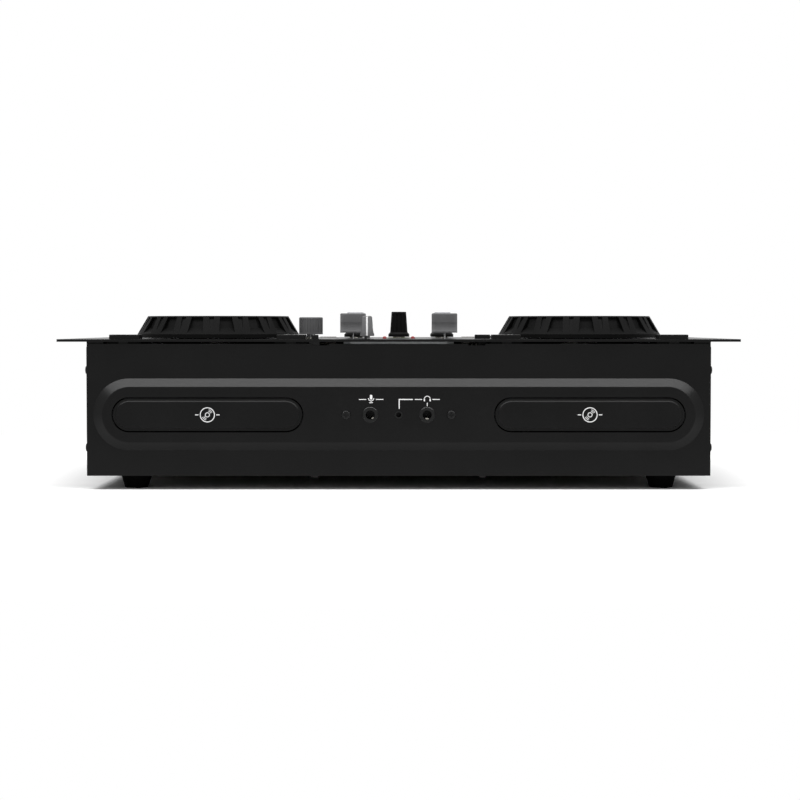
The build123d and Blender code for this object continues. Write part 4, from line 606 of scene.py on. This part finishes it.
# ---- knobs and fader caps ----------------------------------------------------------------------
for name in tone_knobs + centre_knobs:
    # White pointer over the knob's top edge and down its grip; it points to the back at rest.
    at, top = middle(name), high(name).z
    waist, crown, neck = 6.8, 6.1 if name in tone_knobs else 5.7, z_panel + 4.5
    lean = (waist - crown) / (top - neck)
    profile = [(waist - 1.5 * lean, neck + 1.5), (crown + 0.6 * lean, top - 0.6),
               (crown - 0.17, top - 0.17), (crown - 0.6, top), (0.8, top)]
    mesh = bmesh.new()
    ribbon(mesh, profile, 0.0, 1.0, -0.2, 0.07, Matrix.Translation((at.x, at.y, 0)))
    finished(f"{name}_pointer", mesh, ink_white, f"{name}_body")


def cap_profile(cap_low, cap_high):
    """Half outline of a fader cap's end, from its foot up to its rounded top edge, as (out, up)."""
    waist_z = cap_high - cap_waist
    points = [(4.9, cap_low + 0.8)]
    foot, waist = Vector((4.9, cap_low + 0.8)), Vector((3.7, waist_z))
    bow = Vector((3.94, (cap_low + waist_z) / 2))
    for t in (0.25, 0.5, 0.75, 1.0):
        # Quadratic through foot, bow and waist.
        a = (1 - t) * (1 - 2 * t)
        b = 4 * t * (1 - t)
        c = t * (2 * t - 1)
        points.append(tuple(foot * a + bow * b + waist * c))
    points += [(3.2 + 0.5 * 0.9 / cap_waist, cap_high - 0.9), (2.95, cap_high - 0.28), (2.4, cap_high)]
    return points


for name in faders:
    along_x = name != "crossfader"
    at = middle(name)
    cap_high = high(name).z
    cap_low = cap_high - cap_height
    turn = Matrix.Identity(4) if along_x else Matrix.Rotation(math.pi / 2, 4, "Z")
    place = Matrix.Translation((at.x, at.y, 0)) @ turn
    side_profile = cap_profile(cap_low, cap_high)
    mesh = bmesh.new()
    for flip in (1, -1):
        facing = place @ Matrix.Rotation(0 if flip > 0 else math.pi, 4, "Z")
        for i in range(13):
            ribbon(mesh, side_profile[:-2], (i - 6) * 1.15, 0.45, -0.15, 0.16, facing)
    finished(f"{name}_ribs", mesh, abs_cap, f"{name}_slider")
    mesh = bmesh.new()
    end = cap_length / 2
    profile = [(end, cap_low + 0.3), (end, cap_high - 0.9), (end - 0.3, cap_high - 0.25),
               (end - 0.9, cap_high)]
    profile += [(-u, v) for u, v in reversed(profile)]
    lengthwise = place @ Matrix.Rotation(math.pi / 2, 4, "Z")
    ribbon(mesh, profile, 0.0, 1.25, -0.12, 0.06, lengthwise)
    finished(f"{name}_line", mesh, ink_white, f"{name}_slider")


# ---- sockets -----------------------------------------------------------------------------------
def leaf(name, x, bore, turn, wide, first, last):
    """Nickel contact leaf that bows into a socket's bore, at an angle from straight down."""
    wall = bore / 2
    profile = [(-first, wall + 0.05), (-first - 0.6, wall * 0.74), (-(first + last) / 2, wall * 0.4),
               (-last + 0.8, wall * 0.62), (-last, wall * 0.9)]
    mesh = bmesh.new()
    # Local out is to the front and local up is from the bore's axis to its wall.
    place = Matrix.Translation((x, y_band, z_band)) @ Matrix.Rotation(turn, 4, "Y") @ Matrix(
        ((-1, 0, 0, 0), (0, -1, 0, 0), (0, 0, -1, 0), (0, 0, 0, 1)))
    ribbon(mesh, profile, 0.0, wide, -0.12, 0.12, place)
    finished(name, mesh, nickel, "case")


leaf("headphone_contact", socket_x, jack_bore, 0.0, 2.4, 0.6, 9.0)
leaf("microphone_contact", -socket_x, jack_bore, -0.6, 1.6, 1.0, 9.0)
leaf("small_contact", 0.0, small_bore, -1.2, 0.8, 1.0, 7.0)

sockets = middle("rca_sockets")
for word, ring, row in (("white", poly_white, phono_row), ("red", poly_red, -phono_row)):
    collars = Drawing(0.6)
    for column in range(phono_columns):
        collars.arc((column - 1.5) * phono_pitch, row, 4.9, 1.3)
    collars.piece(f"phono_collars_{word}", on_rear(sockets.x, sockets.z, y_rear + 2.0), ring, "case",
                  "socket_body")

marks = Drawing()
for column in range(phono_columns):
    marks.text(str(phono_columns - column), (column - 1.5) * phono_pitch, 20.0, 3.0, 0.45)
marks.piece("phono_numbers", on_rear(sockets.x, sockets.z, y_rear), ink_white, "case")
switch = middle("switch_frame")
marks = Drawing()
marks.line([(-5.0, 11.0), (-5.0, 14.0)], 0.6)
marks.arc(5.0, 12.5, 1.5, 0.6, steps=24)
marks.piece("switch_marks", on_rear(switch.x, switch.z, y_rear), ink_white, "case")


# ---- floor, light and camera -------------------------------------------------------------------
def seen_as_white(tree):
    """1 for the camera, and for gloss and glass so that they show the same white; 0 for other rays."""
    seen = add_node(tree, "ShaderNodeLightPath").outputs
    either = add_node(tree, "ShaderNodeMath",
                      links={0: seen["Is Camera Ray"], 1: seen["Is Glossy Ray"]},
                      operation="MAXIMUM").outputs[0]
    return add_node(tree, "ShaderNodeMath", links={0: either, 1: seen["Is Transmission Ray"]},
                    operation="MAXIMUM").outputs[0]


# Paper sweep, white: it keeps the object's shadow, and runs out into the white round it.
floor_size = 1.7  # metres across
fade_from, fade_to = 0.32, 0.7  # metres from the middle, where paper turns to white light
sweep, tree, shader = new_material("paper_sweep_white", "#f2f2f2", 0.95, specular=0.0)
place = add_node(tree, "ShaderNodeTexCoord").outputs["Object"]
apart = add_node(tree, "ShaderNodeVectorMath", links={0: place}, operation="LENGTH").outputs["Value"]
fade = add_node(tree, "ShaderNodeMapRange", {1: fade_from, 2: fade_to}, {0: apart}).outputs[0]
glow = add_node(tree, "ShaderNodeEmission", {"Color": (1, 1, 1, 1), "Strength": 1.0}).outputs[0]
paper = add_node(tree, "ShaderNodeMixShader", links={0: fade, 1: shader.outputs[0], 2: glow}).outputs[0]
plain = add_node(tree, "ShaderNodeMixShader",
                 links={0: seen_as_white(tree), 1: shader.outputs[0], 2: paper})
tree.links.new(plain.outputs[0], tree.nodes["Material Output"].inputs["Surface"])
mesh = bmesh.new()
bmesh.ops.create_grid(mesh, x_segments=2, y_segments=2, size=floor_size / 2)
data = bpy.data.meshes.new("floor")
mesh.to_mesh(data)
mesh.free()
data.materials.append(sweep)
floor = bpy.data.objects.new("floor", data)
bpy.context.scene.collection.objects.link(floor)
floor.location.z = -0.0004

# The room: white to the camera, in gloss and through glass, with a softer fill for the rest.
world = bpy.data.worlds.new("white_room")
bpy.context.scene.world = world
world.use_nodes = True
tree = world.node_tree
tree.nodes.clear()
level = add_node(tree, "ShaderNodeMix", {2: 0.5, 3: 1.0}, {0: seen_as_white(tree)})
back = add_node(tree, "ShaderNodeBackground", {"Color": (1, 1, 1, 1)}, {"Strength": level.outputs[0]})
add_node(tree, "ShaderNodeOutputWorld", links={"Surface": back.outputs[0]})


def softbox(name, place, target, width, height, watts):
    """A rectangular lamp that looks at a target; places and sizes in metres."""
    data = bpy.data.lights.new(name, "AREA")
    data.shape = "RECTANGLE"
    data.size, data.size_y, data.energy = width, height, watts
    made = bpy.data.objects.new(name, data)
    made.location = place
    made.rotation_euler = (Vector(target) - Vector(place)).to_track_quat("-Z", "Y").to_euler()
    bpy.context.scene.collection.objects.link(made)


# A long strip over the front edge draws the light line along the raised band.
softbox("overhead_softbox", (0.0, -0.36, 1.25), (0.0, -0.2, 0.05), 3.2, 0.25, 40.0)
softbox("left_softbox", (-1.3, -1.6, 0.9), (0.0, 0.0, 0.05), 1.0, 1.0, 5.0)
softbox("right_softbox", (1.4, -1.5, 0.8), (0.0, 0.0, 0.05), 1.0, 1.0, 4.0)

# The photograph's view: almost level with the top panel, a little to the right of its middle.
view_gap, view_x, view_z = 1351.0, 0.92, 115.3  # mm: in front of the panel's edge, right, above the floor
tilt_down = 2.21  # degrees
camera = bpy.data.objects.new("camera", bpy.data.cameras.new("camera"))
camera.data.sensor_width = 36.0
camera.data.lens = 86.27
camera.data.clip_start = 0.02
camera.location = (view_x * M, (y_edge - view_gap) * M, view_z * M)
camera.rotation_euler = (math.radians(90 - tilt_down), 0, 0)
bpy.context.scene.collection.objects.link(camera)
bpy.context.scene.camera = camera
bpy.context.scene.view_settings.view_transform = "Standard"
